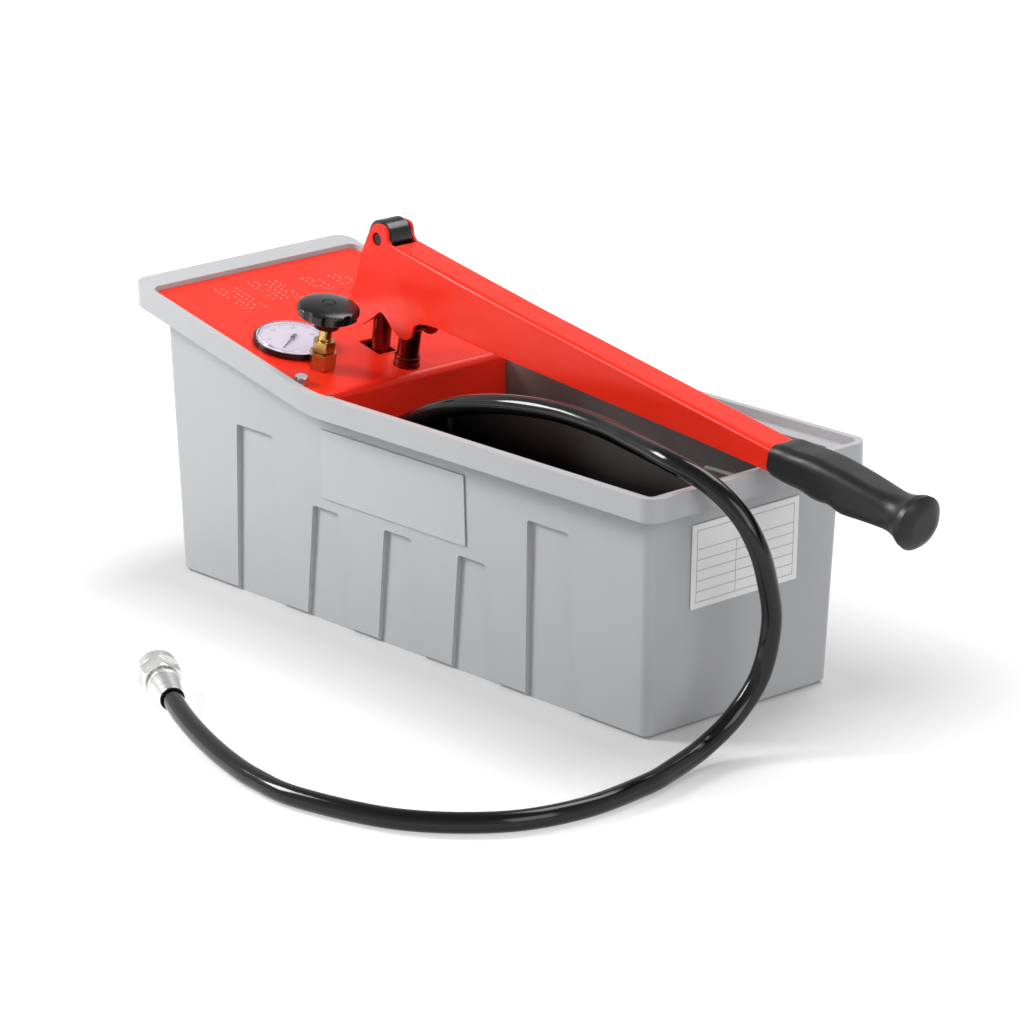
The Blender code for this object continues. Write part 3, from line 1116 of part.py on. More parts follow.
def build_gauge():
    """Pressure gauge: case, dial, needle, spring tube, stem and clear lens."""
    place = (GAUGE_ALONG, GAUGE_ACROSS)
    floor = CASE_BOTTOM + CASE_WALL
    dial_seat = DIAL_BOTTOM - GAP
    case = lathe("gauge_case", (
        (STEM_NECK_RADIUS + GAP, CASE_BOTTOM), (CASE_RADIUS, CASE_BOTTOM), (CASE_RADIUS, GAP),
        (BEZEL_RADIUS, GAP),
        (BEZEL_RADIUS, BEZEL_TOP), (LENS_RADIUS + GAP, BEZEL_TOP), (LENS_RADIUS + GAP, dial_seat),
        (CASE_RADIUS - CASE_WALL, dial_seat), (CASE_RADIUS - CASE_WALL, floor),
        (STEM_NECK_RADIUS + GAP, floor)), "plastic_black")
    seat(case, *place)
    dial_top = DIAL_BOTTOM + DIAL_THICKNESS
    seat(lathe("gauge_dial", ring_profile(HUB_HOLE, DIAL_RADIUS, DIAL_BOTTOM, dial_top), "dial_white"),
         *place)
    lens_low = dial_top + GAP
    inner = LENS_RADIUS - LENS_WALL
    seat(lathe("gauge_lens", (
        (0.0, LENS_TOP - LENS_WALL), (inner, LENS_TOP - LENS_WALL), (inner, lens_low),
        (LENS_RADIUS, lens_low),
        (LENS_RADIUS, LENS_TOP - 2.0 * GAP), (LENS_RADIUS - 2.0 * GAP, LENS_TOP), (0.0, LENS_TOP)),
        "clear_lens"),
        *place)
    builder = bmesh.new()
    needle_top = NEEDLE_BOTTOM + NEEDLE_THICKNESS
    outline = ((NEEDLE_LENGTH, 0.0), (0.0, 0.5 * NEEDLE_HUB), (-NEEDLE_TAIL, 0.5 * NEEDLE_HUB),
               (-NEEDLE_TAIL, -0.5 * NEEDLE_HUB), (0.0, -0.5 * NEEDLE_HUB))
    low = [builder.verts.new((x, y, NEEDLE_BOTTOM)) for x, y in outline]
    high = [builder.verts.new((x, y, needle_top)) for x, y in outline]
    builder.faces.new(list(reversed(low)))
    builder.faces.new(high)
    for index in range(len(outline)):
        after = (index + 1) % len(outline)
        builder.faces.new((low[index], low[after], high[after], high[index]))
    bmesh.ops.rotate(builder, cent=(0.0, 0.0, 0.0), matrix=Matrix.Rotation(NEEDLE_ZERO_TURN, 3, "Z"),
                     verts=builder.verts)
    needle = add_piece("gauge_needle", builder, "plastic_black", SMOOTH)
    seat(needle, *place)
    hub = lathe("joint_needle_hub",
                disc_profile(0.5 * NEEDLE_HUB + GAP, NEEDLE_BOTTOM - GAP, needle_top + GAP), None,
                SMALL_SEGMENTS)
    shaft = lathe("joint_needle_shaft",
                  disc_profile(NEEDLE_SHAFT, TUBE_HEIGHT + TUBE_RADIUS + GAP, needle_top), None,
                  SMALL_SEGMENTS)
    boolean(needle, seat(hub, *place), "UNION")
    boolean(needle, seat(shaft, *place), "UNION")
    arc = [(0.0, 0.0, 0.0)]
    for step in range(TUBE_STEPS + 1):
        angle = TUBE_START + TUBE_SWEEP * step / TUBE_STEPS
        arc.append((TUBE_ARC_RADIUS * math.cos(angle), TUBE_ARC_RADIUS * math.sin(angle), 0.0))
    seat(tube("spring_tube", arc, TUBE_RADIUS, "brass", 2), GAUGE_ALONG, GAUGE_ACROSS, TUBE_HEIGHT)
    stem_top = TUBE_HEIGHT - TUBE_RADIUS - GAP
    seat(lathe("gauge_stem", (
        (0.0, BAR_TOP + GAP), (GAUGE_STEM_RADIUS, BAR_TOP + GAP), (GAUGE_STEM_RADIUS, CASE_BOTTOM - GAP),
        (STEM_NECK_RADIUS, CASE_BOTTOM - GAP), (STEM_NECK_RADIUS, stem_top), (0.0, stem_top)), "brass",
        SMALL_SEGMENTS), *place)


def build_outlet():
    """Outlet elbow under the head and the ferrule that holds the hose to it."""
    forward = Vector((math.cos(HOSE_RISE), 0.0, math.sin(HOSE_RISE)))
    start = Vector(HOSE_START)
    back = start - forward * (FERRULE_BACK + GAP)
    mouth = COVER_FRAME @ Vector((ELBOW_ALONG, ELBOW_ACROSS, BAR_BOTTOM - GAP))
    straight = back - forward * FERRULE_BACK
    below = COVER_FRAME @ Vector((ELBOW_ALONG, ELBOW_ACROSS, BAR_BOTTOM - FERRULE_BACK))
    route = [tuple(mouth), tuple(below)] + list(ELBOW_ROUTE) + [tuple(straight), tuple(back)]
    tube("outlet_elbow", smooth_route(route, ELBOW_POINTS), ELBOW_RADIUS, "brass")
    ferrule = lathe("hose_ferrule", (
        (0.0, -FERRULE_BACK), (FERRULE_RADIUS, -FERRULE_BACK), (FERRULE_RADIUS, FERRULE_LENGTH),
        (HOSE_RADIUS + GAP, FERRULE_LENGTH), (HOSE_RADIUS + GAP, -GAP), (0.0, -GAP)), "steel_plated")
    aim(ferrule, start, start + forward)


def build_hose():
    """Free hose from the outlet ferrule to the end fitting."""
    tube("hose", smooth_route(HOSE_ROUTE, HOSE_POINTS), HOSE_RADIUS, "rubber_black")


def build_end_fitting():
    """Ferrule, tail, swivel nut and washer on the free end of the hose."""
    direction = (Vector(END_TOWARD) - Vector(END_ORIGIN)).normalized()

    def on_axis(piece):
        return aim(piece, END_ORIGIN, Vector(END_ORIGIN) + direction)

    back = -END_SOCKET
    on_axis(lathe("end_sleeve",
                  ring_profile(HOSE_RADIUS + GAP, SLEEVE_RADIUS, back - SLEEVE_LENGTH - GAP, back - GAP),
                  "rubber_black"))
    ferrule_end = END_FERRULE_LENGTH + back
    on_axis(lathe("end_ferrule", (
        (HOSE_RADIUS + GAP, back), (SLEEVE_RADIUS, back), (END_FERRULE_WIDE, ferrule_end - GAP),
        (0.0, ferrule_end - GAP), (0.0, GAP), (HOSE_RADIUS + GAP, GAP)), "steel_plated"))
    on_axis(lathe("end_tail", (
        (TAIL_BORE, END_FERRULE_LENGTH + back), (COLLAR_RADIUS, END_FERRULE_LENGTH + back),
        (COLLAR_RADIUS, COLLAR_END + back), (TAIL_RADIUS, COLLAR_END + back),
        (TAIL_RADIUS, TAIL_FLANGE_START + back), (TAIL_FLANGE_RADIUS, TAIL_FLANGE_START + back),
        (TAIL_FLANGE_RADIUS, TAIL_FLANGE_END + back), (TAIL_BORE, TAIL_FLANGE_END + back)), "steel_plated"))
    hexagon = lathe("swivel_nut", disc_profile(0.5 * NUT_FLATS, NUT_START + back, NUT_HEX_END + GAP + back),
                    "steel_plated", flats=HEXAGON)
    rounded = lathe("joint_nut_round", (
        (0.0, NUT_HEX_END + back), (NUT_ROUND_RADIUS - NUT_CHAMFER, NUT_HEX_END + back),
        (NUT_ROUND_RADIUS, NUT_HEX_END + NUT_CHAMFER + back),
        (NUT_ROUND_RADIUS, NUT_END - NUT_CHAMFER + back),
        (NUT_ROUND_RADIUS - NUT_CHAMFER, NUT_END + back), (0.0, NUT_END + back)), None)
    bore = lathe("cutter_nut_bore", (
        (0.0, NUT_START - CUT + back), (TAIL_RADIUS + GAP, NUT_START - CUT + back),
        (TAIL_RADIUS + GAP, TAIL_FLANGE_START - GAP + back), (NUT_BORE, TAIL_FLANGE_START - GAP + back),
        (NUT_BORE, NUT_END + CUT + back), (0.0, NUT_END + CUT + back)), None)
    on_axis(hexagon)
    boolean(hexagon, on_axis(rounded), "UNION")
    boolean(hexagon, on_axis(bore))
    washer_start = TAIL_FLANGE_END + GAP + back
    on_axis(lathe("face_washer",
                  ring_profile(TAIL_BORE, TAIL_FLANGE_RADIUS, washer_start,
                               washer_start + FACE_WASHER_THICKNESS), "rubber_black"))


clear_scene()
build_tank()
build_panels()
build_cover()
build_cover_screws()
build_head()
build_cylinder()
build_foot()
build_lever()
build_link()
build_grip()
build_valve()
build_gauge()
build_outlet()
build_hose()
build_end_fitting()
bpy.context.view_layer.update()
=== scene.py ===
"""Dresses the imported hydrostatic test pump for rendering.

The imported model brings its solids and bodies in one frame: metres, +Z up, +X along the tank to the
grip, +Y away from the viewer, origin on the floor under the middle of the tank.  Each sub-assembly
is a class that builds its shown pieces with Blender's own modelling operators, dresses them in a
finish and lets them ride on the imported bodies.
"""
import json
import logging
import math
from collections.abc import Callable, Iterator, Sequence
from contextlib import contextmanager
from dataclasses import dataclass
from enum import Enum

import bmesh
import bpy
from mathutils import Matrix, Vector

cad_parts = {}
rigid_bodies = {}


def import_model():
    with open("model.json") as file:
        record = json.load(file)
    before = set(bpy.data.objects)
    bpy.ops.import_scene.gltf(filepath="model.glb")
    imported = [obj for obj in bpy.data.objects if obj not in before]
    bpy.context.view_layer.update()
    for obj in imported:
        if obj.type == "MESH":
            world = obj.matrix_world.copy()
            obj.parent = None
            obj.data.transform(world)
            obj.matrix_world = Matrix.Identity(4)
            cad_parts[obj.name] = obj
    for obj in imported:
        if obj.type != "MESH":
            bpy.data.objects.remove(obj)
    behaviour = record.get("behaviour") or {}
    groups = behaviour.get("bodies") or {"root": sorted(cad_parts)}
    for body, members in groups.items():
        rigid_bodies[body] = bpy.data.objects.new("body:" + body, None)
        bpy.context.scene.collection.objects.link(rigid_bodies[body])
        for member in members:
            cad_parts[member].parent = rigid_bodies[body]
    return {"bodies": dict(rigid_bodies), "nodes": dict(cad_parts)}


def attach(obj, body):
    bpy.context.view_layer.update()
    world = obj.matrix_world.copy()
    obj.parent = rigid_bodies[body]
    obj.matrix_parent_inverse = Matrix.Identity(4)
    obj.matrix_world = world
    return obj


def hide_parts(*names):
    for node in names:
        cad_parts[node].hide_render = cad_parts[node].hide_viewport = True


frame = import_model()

LOG = logging.getLogger("test_pump")
# Where most values of a noise texture lie
NOISE_REACH = (0.3, 0.7)
# The least roughness that a finish may get
SMOOTHEST = 0.02
# Squeezes noise into rings round a turned piece's axis
LINE_STRETCH = (0.04, 0.04, 1.0)
# A loft's sections are drawn this far apart before they are placed
STOREY = 1.0
RING_LAYER = "ring_number"
FINE_STEPS = 24
FULL_TURN = 2.0 * math.pi
QUARTER_TURN = 0.5 * math.pi
MILLIMETRE = 0.001
# Points nearer than this are one point
WELD = 0.000002
# How far a cutter reaches past what it cuts
CUT = 0.004
# Clearance between neighbouring pieces
GAP = 0.0003
# How far a face may lean and still count as level, or as part of its wall
FACE_SPREAD = math.radians(40.0)

# Sizes shared by several sub-assemblies, in metres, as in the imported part
RIM_LOW = 0.165
RIM_HIGH = 0.2065
RIM_LENGTH = 0.525
RIM_WIDTH = 0.189
KINK_X = -0.072
KINK_REACH = 0.012
LIP_DEPTH = 0.0055
PUMP_END_RIM = 0.0162
BASE_HALF = (0.238, 0.0783)
BASE_ROUND = 0.0025
COVER_THICKNESS = 0.0022
COVER_DROP = LIP_DEPTH - COVER_THICKNESS - GAP
SLOPE = math.atan2(RIM_HIGH - RIM_LOW, 0.5 * RIM_LENGTH + KINK_X)
COVER_ORIGIN = Vector((KINK_X - COVER_DROP * math.sin(SLOPE), 0.0,
                       RIM_LOW - COVER_DROP * math.cos(SLOPE)))
COVER_FRAME = Matrix.Translation(COVER_ORIGIN) @ Matrix.Rotation(SLOPE, 4, "Y")
HOSE_RADIUS = 0.0066
PLUNGER_EYE = (-0.0750, 0.1970)
LEVER_FULCRUM = (-0.0957, 0.2502)
PIVOT_RADIUS = 0.0042

Piece = bpy.types.Object
Pair = tuple[float, float]
Triple = tuple[float, float, float]
Quad = tuple[float, float, float, float]
Profile = Sequence[Pair]


# Modelling tools


class Element(Enum):
    """Kinds of mesh element that a test can pick."""

    VERT = "VERT"
    EDGE = "EDGE"
    FACE = "FACE"


class Cut(Enum):
    """What a second solid does to the first."""

    DIFFERENCE = "DIFFERENCE"
    INTERSECT = "INTERSECT"
    UNION = "UNION"


def activate(piece: Piece) -> None:
    """Make one object the only selected and the active one.

    Args:
        piece: The object to work on.
    """
    bpy.ops.object.select_all(action="DESELECT")
    piece.select_set(True)
    bpy.context.view_layer.objects.active = piece


@contextmanager
def editing(piece: Piece) -> Iterator[None]:
    """Work on an object in edit mode, with everything in it selected.

    Args:
        piece: The mesh object to edit.
    """
    activate(piece)
    bpy.ops.object.mode_set(mode="EDIT")
    bpy.ops.mesh.select_mode(type="VERT")
    bpy.ops.mesh.select_all(action="SELECT")
    yield
    bpy.ops.object.mode_set(mode="OBJECT")


def pick(piece: Piece, element: Element, test: Callable[[object], bool]) -> int:
    """Select in edit mode the elements that pass a test, and nothing else.

    Args:
        piece: The object in edit mode.
        element: The kind of element that is tested.
        test: Says for one bmesh element whether it is picked.

    Returns:
        How many elements were picked.
    """
    bpy.ops.mesh.select_mode(type=element.value)
    bpy.ops.mesh.select_all(action="DESELECT")
    shape = bmesh.from_edit_mesh(piece.data)
    group = {Element.VERT: shape.verts, Element.EDGE: shape.edges, Element.FACE: shape.faces}[element]
    group.index_update()
    picked = [item for item in group if test(item)]
    for item in picked:
        item.select_set(True)
    bmesh.update_edit_mesh(piece.data)
    return len(picked)


def extrude(offset: Sequence[float]) -> None:
    """Extrude what is selected in edit mode, in metres along the world's axes."""
    bpy.ops.mesh.extrude_region_move(TRANSFORM_OT_translate={"value": tuple(offset)})


def name_piece(piece: Piece, name: str) -> Piece:
    """Name an object and its mesh alike.

    Args:
        piece: The object.
        name: Its plain name.

    Returns:
        The same object.
    """
    piece.name = name
    piece.data.name = name
    return piece


def seal(piece: Piece) -> Piece:
    """Weld doubles and turn every face outward.

    Args:
        piece: The mesh object.

    Returns:
        The same object.
    """
    with editing(piece):
        bpy.ops.mesh.remove_doubles(threshold=WELD)
        bpy.ops.mesh.normals_make_consistent(inside=False)
    return piece


def drawn_line(name: str, points: Sequence[Sequence[float]], closed: bool) -> Piece:
    """Draw a line of edges by pulling one vertex along, as with the extrude key.

    Args:
        name: The new object's name.
        points: The corners in order.
        closed: Whether the last corner joins the first.

    Returns:
        The object with the line, left in object mode.
    """
    bpy.ops.object.select_all(action="DESELECT")
    bpy.ops.mesh.primitive_plane_add(size=CUT, location=(0.0, 0.0, 0.0))
    piece = name_piece(bpy.context.active_object, name)
    with editing(piece):
        bpy.ops.mesh.merge(type="CENTER")
        bpy.ops.transform.translate(value=tuple(points[0]))
        for before, after in zip(points, points[1:]):
            step = Vector(after) - Vector(before)
            bpy.ops.mesh.extrude_vertices_move(TRANSFORM_OT_translate={"value": tuple(step)})
        if closed:
            ends = (Vector(points[0]), Vector(points[-1]))
            pick(piece, Element.VERT, lambda v: min((v.co - end).length for end in ends) < WELD)
            bpy.ops.mesh.edge_face_add()
    return piece


def turned(name: str, profile: Profile, steps: int = 64, ring: bool = False) -> Piece:
    """Turn a profile about +Z, as on a lathe.

    Args:
        name: The new object's name.
        profile: (radius, height) points from bottom to top, or round a section for a ring.
        steps: How many faces go round.
        ring: Whether the profile closes on itself and leaves a bore.

    Returns:
        The turned object, closed and facing outward.
    """
    piece = drawn_line(name, [(radius, 0.0, height) for radius, height in profile], ring)
    with editing(piece):
        bpy.ops.mesh.spin(steps=steps, angle=FULL_TURN, center=(0.0, 0.0, 0.0), axis=(0.0, 0.0, 1.0))
    return seal(piece)


def bar(name: str, radius: float, low: float, high: float, steps: int = 64) -> Piece:
    """Turn a plain round bar about +Z, as a piece's start or as a drill."""
    return turned(name, [(0.0, low), (radius, low), (radius, high), (0.0, high)], steps)


def tube(name: str, radii: Pair, low: float, high: float, steps: int = 48) -> Piece:
    """Turn a plain tube or washer about +Z from its inner and outer radius."""
    inner, outer = radii
    return turned(name, [(inner, low), (outer, low), (outer, high), (inner, high)], steps, True)


def over_corners(flats: float, sides: int = 6) -> float:
    """Radius over the corners of a bar with flat sides, such as a hexagon, from its flats."""
    return 0.5 * flats / math.cos(math.pi / sides)


def plate(name: str, outline: Profile, near: float, far: float) -> Piece:
    """Draw an outline in the upright XZ plane, fill it and pull it out along Y.

    Args:
        name: The new object's name.
        outline: (x, z) corners in order.
        near: Lowest y.
        far: Highest y.

    Returns:
        The closed plate.
    """
    piece = drawn_line(name, [(x, near, z) for x, z in outline], True)
    with editing(piece):
        bpy.ops.mesh.edge_face_add()
        extrude((0.0, far - near, 0.0))
    return seal(piece)


def block(name: str, low: Sequence[float], high: Sequence[float]) -> Piece:
    """Add a cube stretched between two corners, as the start or the cutter of a piece.

    Args:
        name: The new object's name.
        low: Lowest corner.
        high: Highest corner.

    Returns:
        The block.
    """
    bpy.ops.object.select_all(action="DESELECT")
    centre = (Vector(low) + Vector(high)) * 0.5
    bpy.ops.mesh.primitive_cube_add(size=1.0, location=centre, scale=tuple(Vector(high) - Vector(low)))
    piece = name_piece(bpy.context.active_object, name)
    bpy.ops.object.transform_apply(location=True, rotation=True, scale=True)
    return piece


def prism(name: str, sides: int, flats: float, low: float, high: float) -> Piece:
    """Add an upright bar with equal flat sides, such as a hexagon.

    Args:
        name: The new object's name.
        sides: How many flats.
        flats: Distance across two flats of an even-sided bar.
        low: Bottom height.
        high: Top height.

    Returns:
        The bar.
    """
    bpy.ops.object.select_all(action="DESELECT")
    bpy.ops.mesh.primitive_circle_add(vertices=sides, radius=over_corners(flats, sides), fill_type="NGON",
                                      location=(0.0, 0.0, low))
    piece = name_piece(bpy.context.active_object, name)
    bpy.ops.object.transform_apply(location=True, rotation=True, scale=True)
    with editing(piece):
        extrude((0.0, 0.0, high - low))
    return seal(piece)


@dataclass(frozen=True)
class Ring:
    """One section of a loft: a rounded rectangle, turned and placed."""

    centre: Triple
    half: Pair
    corner: float
    turn: Triple = (0.0, 0.0, 0.0)


def lofted(name: str, rings: Sequence[Ring], steps: int, loop: bool = False) -> Piece:
    """Skin a chain of rounded rectangles by bridging each to the next.

    Args:
        name: The new object's name.
        rings: The sections in order.
        steps: Segments in each rounded corner.
        loop: Whether the last section joins the first, in place of caps at both ends.

    Returns:
        The closed loft.
    """
    bpy.ops.object.select_all(action="DESELECT")
    bpy.ops.mesh.primitive_plane_add(size=CUT, location=(0.0, 0.0, 0.0))
    piece = name_piece(bpy.context.active_object, name)
    with editing(piece):
        bpy.ops.mesh.delete(type="VERT")
        bmesh.from_edit_mesh(piece.data).verts.layers.int.new(RING_LAYER)
        for index, ring in enumerate(rings):
            bpy.ops.mesh.primitive_plane_add(size=2.0, location=(0.0, 0.0, index * STOREY))
            bpy.ops.transform.resize(value=(ring.half[0], ring.half[1], 1.0))
            bpy.ops.mesh.bevel(offset=ring.corner, segments=steps, affect="VERTICES")
            shape = bmesh.from_edit_mesh(piece.data)
            layer = shape.verts.layers.int[RING_LAYER]
            for vert in shape.verts:
                if vert[layer] == 0:
                    vert[layer] = index + 1
            bpy.ops.mesh.delete(type="ONLY_FACE")
        last = len(rings)
        pairs = [(number, number + 1) for number in range(1, last)] + ([(last, 1)] if loop else [])
        for pair in pairs:
            layer = bmesh.from_edit_mesh(piece.data).verts.layers.int[RING_LAYER]
            pick(piece, Element.EDGE, lambda e: e.verts[0][layer] == e.verts[1][layer] in pair)
            bpy.ops.mesh.bridge_edge_loops()
        if not loop:
            for end in (1, last):
                layer = bmesh.from_edit_mesh(piece.data).verts.layers.int[RING_LAYER]
                pick(piece, Element.VERT, lambda v: v[layer] == end)
                bpy.ops.mesh.edge_face_add()
        shape = bmesh.from_edit_mesh(piece.data)
        layer = shape.verts.layers.int[RING_LAYER]
        for vert in shape.verts:
            ring = rings[vert[layer] - 1]
            turn = (Matrix.Rotation(ring.turn[2], 4, "Z") @ Matrix.Rotation(ring.turn[1], 4, "Y")
                    @ Matrix.Rotation(ring.turn[0], 4, "X"))
            vert.co = Vector(ring.centre) + turn @ Vector((vert.co.x, vert.co.y, 0.0))
        bmesh.update_edit_mesh(piece.data)
    piece.data.attributes.remove(piece.data.attributes[RING_LAYER])
    return seal(piece)


def cut(piece: Piece, other: Piece, way: Cut = Cut.DIFFERENCE) -> Piece:
    """Combine two solids and throw the second away.

    Args:
        piece: The solid that stays.
        other: The solid that is used up.
        way: What the second does to the first.

    Returns:
        The combined solid.
    """
    activate(piece)
    modifier = piece.modifiers.new("cut", "BOOLEAN")
    modifier.object = other
    modifier.operation = way.value
    modifier.solver = "EXACT"
    bpy.ops.object.modifier_apply(modifier=modifier.name)
    bpy.data.objects.remove(other, do_unlink=True)
    return piece


def tidy_flats(piece: Piece) -> Piece:
    """Dissolve the edges inside flat areas, so that bevels run clean.

    Args:
        piece: The mesh object.

    Returns:
        The same object.
    """
    with editing(piece):
        bpy.ops.mesh.remove_doubles(threshold=WELD)
        bpy.ops.mesh.dissolve_limited(angle_limit=math.radians(0.4))
    return piece


def round_edges(piece: Piece, width: float, steps: int = 3, angle: float = 30.0) -> Piece:
    """Bevel the sharp edges with an applied modifier.

    Args:
        piece: The mesh object.
        width: Width of the rounding, in metres.
        steps: Segments across it.
        angle: Edges sharper than this, in degrees, are rounded.

    Returns:
        The same object.
    """
    activate(piece)
    modifier = piece.modifiers.new("round", "BEVEL")
    modifier.width = width
    modifier.segments = steps
    modifier.limit_method = "ANGLE"
    modifier.angle_limit = math.radians(angle)
    bpy.ops.object.modifier_apply(modifier=modifier.name)
    return piece


def settle(piece: Piece, place: Matrix) -> Piece:
    """Move a piece to its place and write that place into its mesh.

    Args:
        piece: The object, built about the origin.
        place: Where it goes in the row frame.

    Returns:
        The same object, at the origin, unturned and unscaled.
    """
    piece.matrix_world = place @ piece.matrix_world
    activate(piece)
    bpy.ops.object.transform_apply(location=True, rotation=True, scale=True)
    return piece


def copied(piece: Piece, name: str, place: Matrix) -> Piece:
    """Copy a piece with its own mesh and place the copy.

    Args:
        piece: The object to copy.
        name: The copy's name.
        place: Where the copy goes, from where the first stands.

    Returns:
        The copy.
    """
    activate(piece)
    bpy.ops.object.duplicate(linked=False)
    return settle(name_piece(bpy.context.active_object, name), place)


def joined(pieces: Sequence[Piece], name: str) -> Piece:
    """Join several objects into one.

    Args:
        pieces: The objects, of which the first stays.
        name: The name of the result.

    Returns:
        The joined object.
    """
    activate(pieces[0])
    for piece in pieces[1:]:
        piece.select_set(True)
    bpy.ops.object.join()
    return name_piece(bpy.context.active_object, name)


def smooth(piece: Piece, angle: float = 35.0) -> Piece:
    """Shade round surfaces smooth and keep corners crisp.

    Args:
        piece: The mesh object.
        angle: Edges sharper than this, in degrees, stay crisp.

    Returns:
        The same object.
    """
    activate(piece)
    bpy.ops.object.shade_smooth_by_angle(angle=math.radians(angle))
    modifier = piece.modifiers.new("flat_faces_first", "WEIGHTED_NORMAL")
    modifier.keep_sharp = True
    bpy.ops.object.modifier_apply(modifier=modifier.name)
    return piece


def on_cover(along: float, across: float, up: float = 0.0) -> Matrix:
    """Place on the sloping cover: down the slope from the rim's bend, along +Y, square to the cover."""
    return COVER_FRAME @ Matrix.Translation((along, across, up))


def aimed(origin: Sequence[float], target: Sequence[float]) -> Matrix:
    """Frame at one point whose +Z looks at another."""
    way = (Vector(target) - Vector(origin)).to_track_quat("Z", "Y")
    return Matrix.Translation(origin) @ way.to_matrix().to_4x4()


def smooth_line(points: Sequence[Sequence[float]], count: int) -> list[Vector]:
    """Run a Catmull-Rom line through points and space it evenly.

    Args:
        points: The points that it passes.
        count: How many points come back.

    Returns:
        Evenly spaced points on the line.
    """
    knots = [Vector(point) for point in points]
    knots = [2.0 * knots[0] - knots[1]] + knots + [2.0 * knots[-1] - knots[-2]]
    fine: list[Vector] = []
    for before, start, end, after in zip(knots, knots[1:], knots[2:], knots[3:]):
        for step in range(FINE_STEPS):
            t = step / FINE_STEPS
            fine.append(0.5 * (2.0 * start + (end - before) * t
                               + (2.0 * before - 5.0 * start + 4.0 * end - after) * t ** 2
                               + (3.0 * start - before - 3.0 * end + after) * t ** 3))
    fine.append(knots[-2])
    reach = [0.0]
    for one, other in zip(fine, fine[1:]):
        reach.append(reach[-1] + (other - one).length)
    even, at = [], 0
    for index in range(count):
        goal = reach[-1] * index / (count - 1)
        while at < len(fine) - 2 and reach[at + 1] < goal:
            at += 1
        share = (goal - reach[at]) / max(reach[at + 1] - reach[at], WELD)
        even.append(fine[at].lerp(fine[at + 1], min(share, 1.0)))
    return even


# Finishes


def linear(colour: str) -> Quad:
    """Turn an sRGB hex colour into the linear values that shaders use.

    Args:
        colour: Six hex digits after a hash sign.

    Returns:
        Red, green, blue and an alpha of one.
    """
    parts = [int(colour[start:start + 2], 16) / 255.0 for start in (1, 3, 5)]
    bent = [part / 12.92 if part <= 0.04045 else ((part + 0.055) / 1.055) ** 2.4 for part in parts]
    return bent[0], bent[1], bent[2], 1.0


def per_metre(size_mm: float) -> float:
    """Scale of a texture in metres whose features have a given size in millimetres."""
    return 1000.0 / size_mm


def add_node(tree: bpy.types.NodeTree, kind: str, values: dict | None = None,
             links: dict | None = None) -> bpy.types.Node:
    """Add one shader node with its settings and links.

    Args:
        tree: The material's node tree.
        kind: The node's type name, without ShaderNode before it.
        values: Properties by name, or input defaults by socket name or number.
        links: Sources by the name or number of the input that they feed: sockets, or nodes whose first
            output is meant.

    Returns:
        The new node.
    """
    node = tree.nodes.new(f"ShaderNode{kind}")
    for key, value in (values or {}).items():
        if isinstance(key, str) and key[0].islower():
            setattr(node, key, value)
        else:
            node.inputs[key].default_value = value
    for key, source in (links or {}).items():
        socket = source.outputs[0] if isinstance(source, bpy.types.Node) else source
        tree.links.new(socket, node.inputs[key])
    return node


def blank_material(name: str) -> bpy.types.Material:
    """Start a node material with an empty tree.

    Args:
        name: The material's name.

    Returns:
        The material.
    """
    made = bpy.data.materials.new(name)
    made.use_nodes = True
    made.node_tree.nodes.clear()
    return made


def spread(start: float, end: float, low: float, high: float) -> dict[str, float]:
    """Inputs of a range node that turns the stretch start to end into low to high."""
    return {"From Min": start, "From Max": end, "To Min": low, "To Max": high}


class Slot(Enum):
    """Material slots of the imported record."""

    TANK = "tank_plastic"
    PANEL = "panel_film"
    RED = "red_paint"
    PLATED = "plated_steel"
    DARK_STEEL = "dark_steel"
    CAST = "cast_head"
    BRASS = "brass"
    RUBBER = "black_rubber"
    BLACK_PLASTIC = "black_plastic"
    DIAL = "dial_white"
    LENS = "clear_lens"


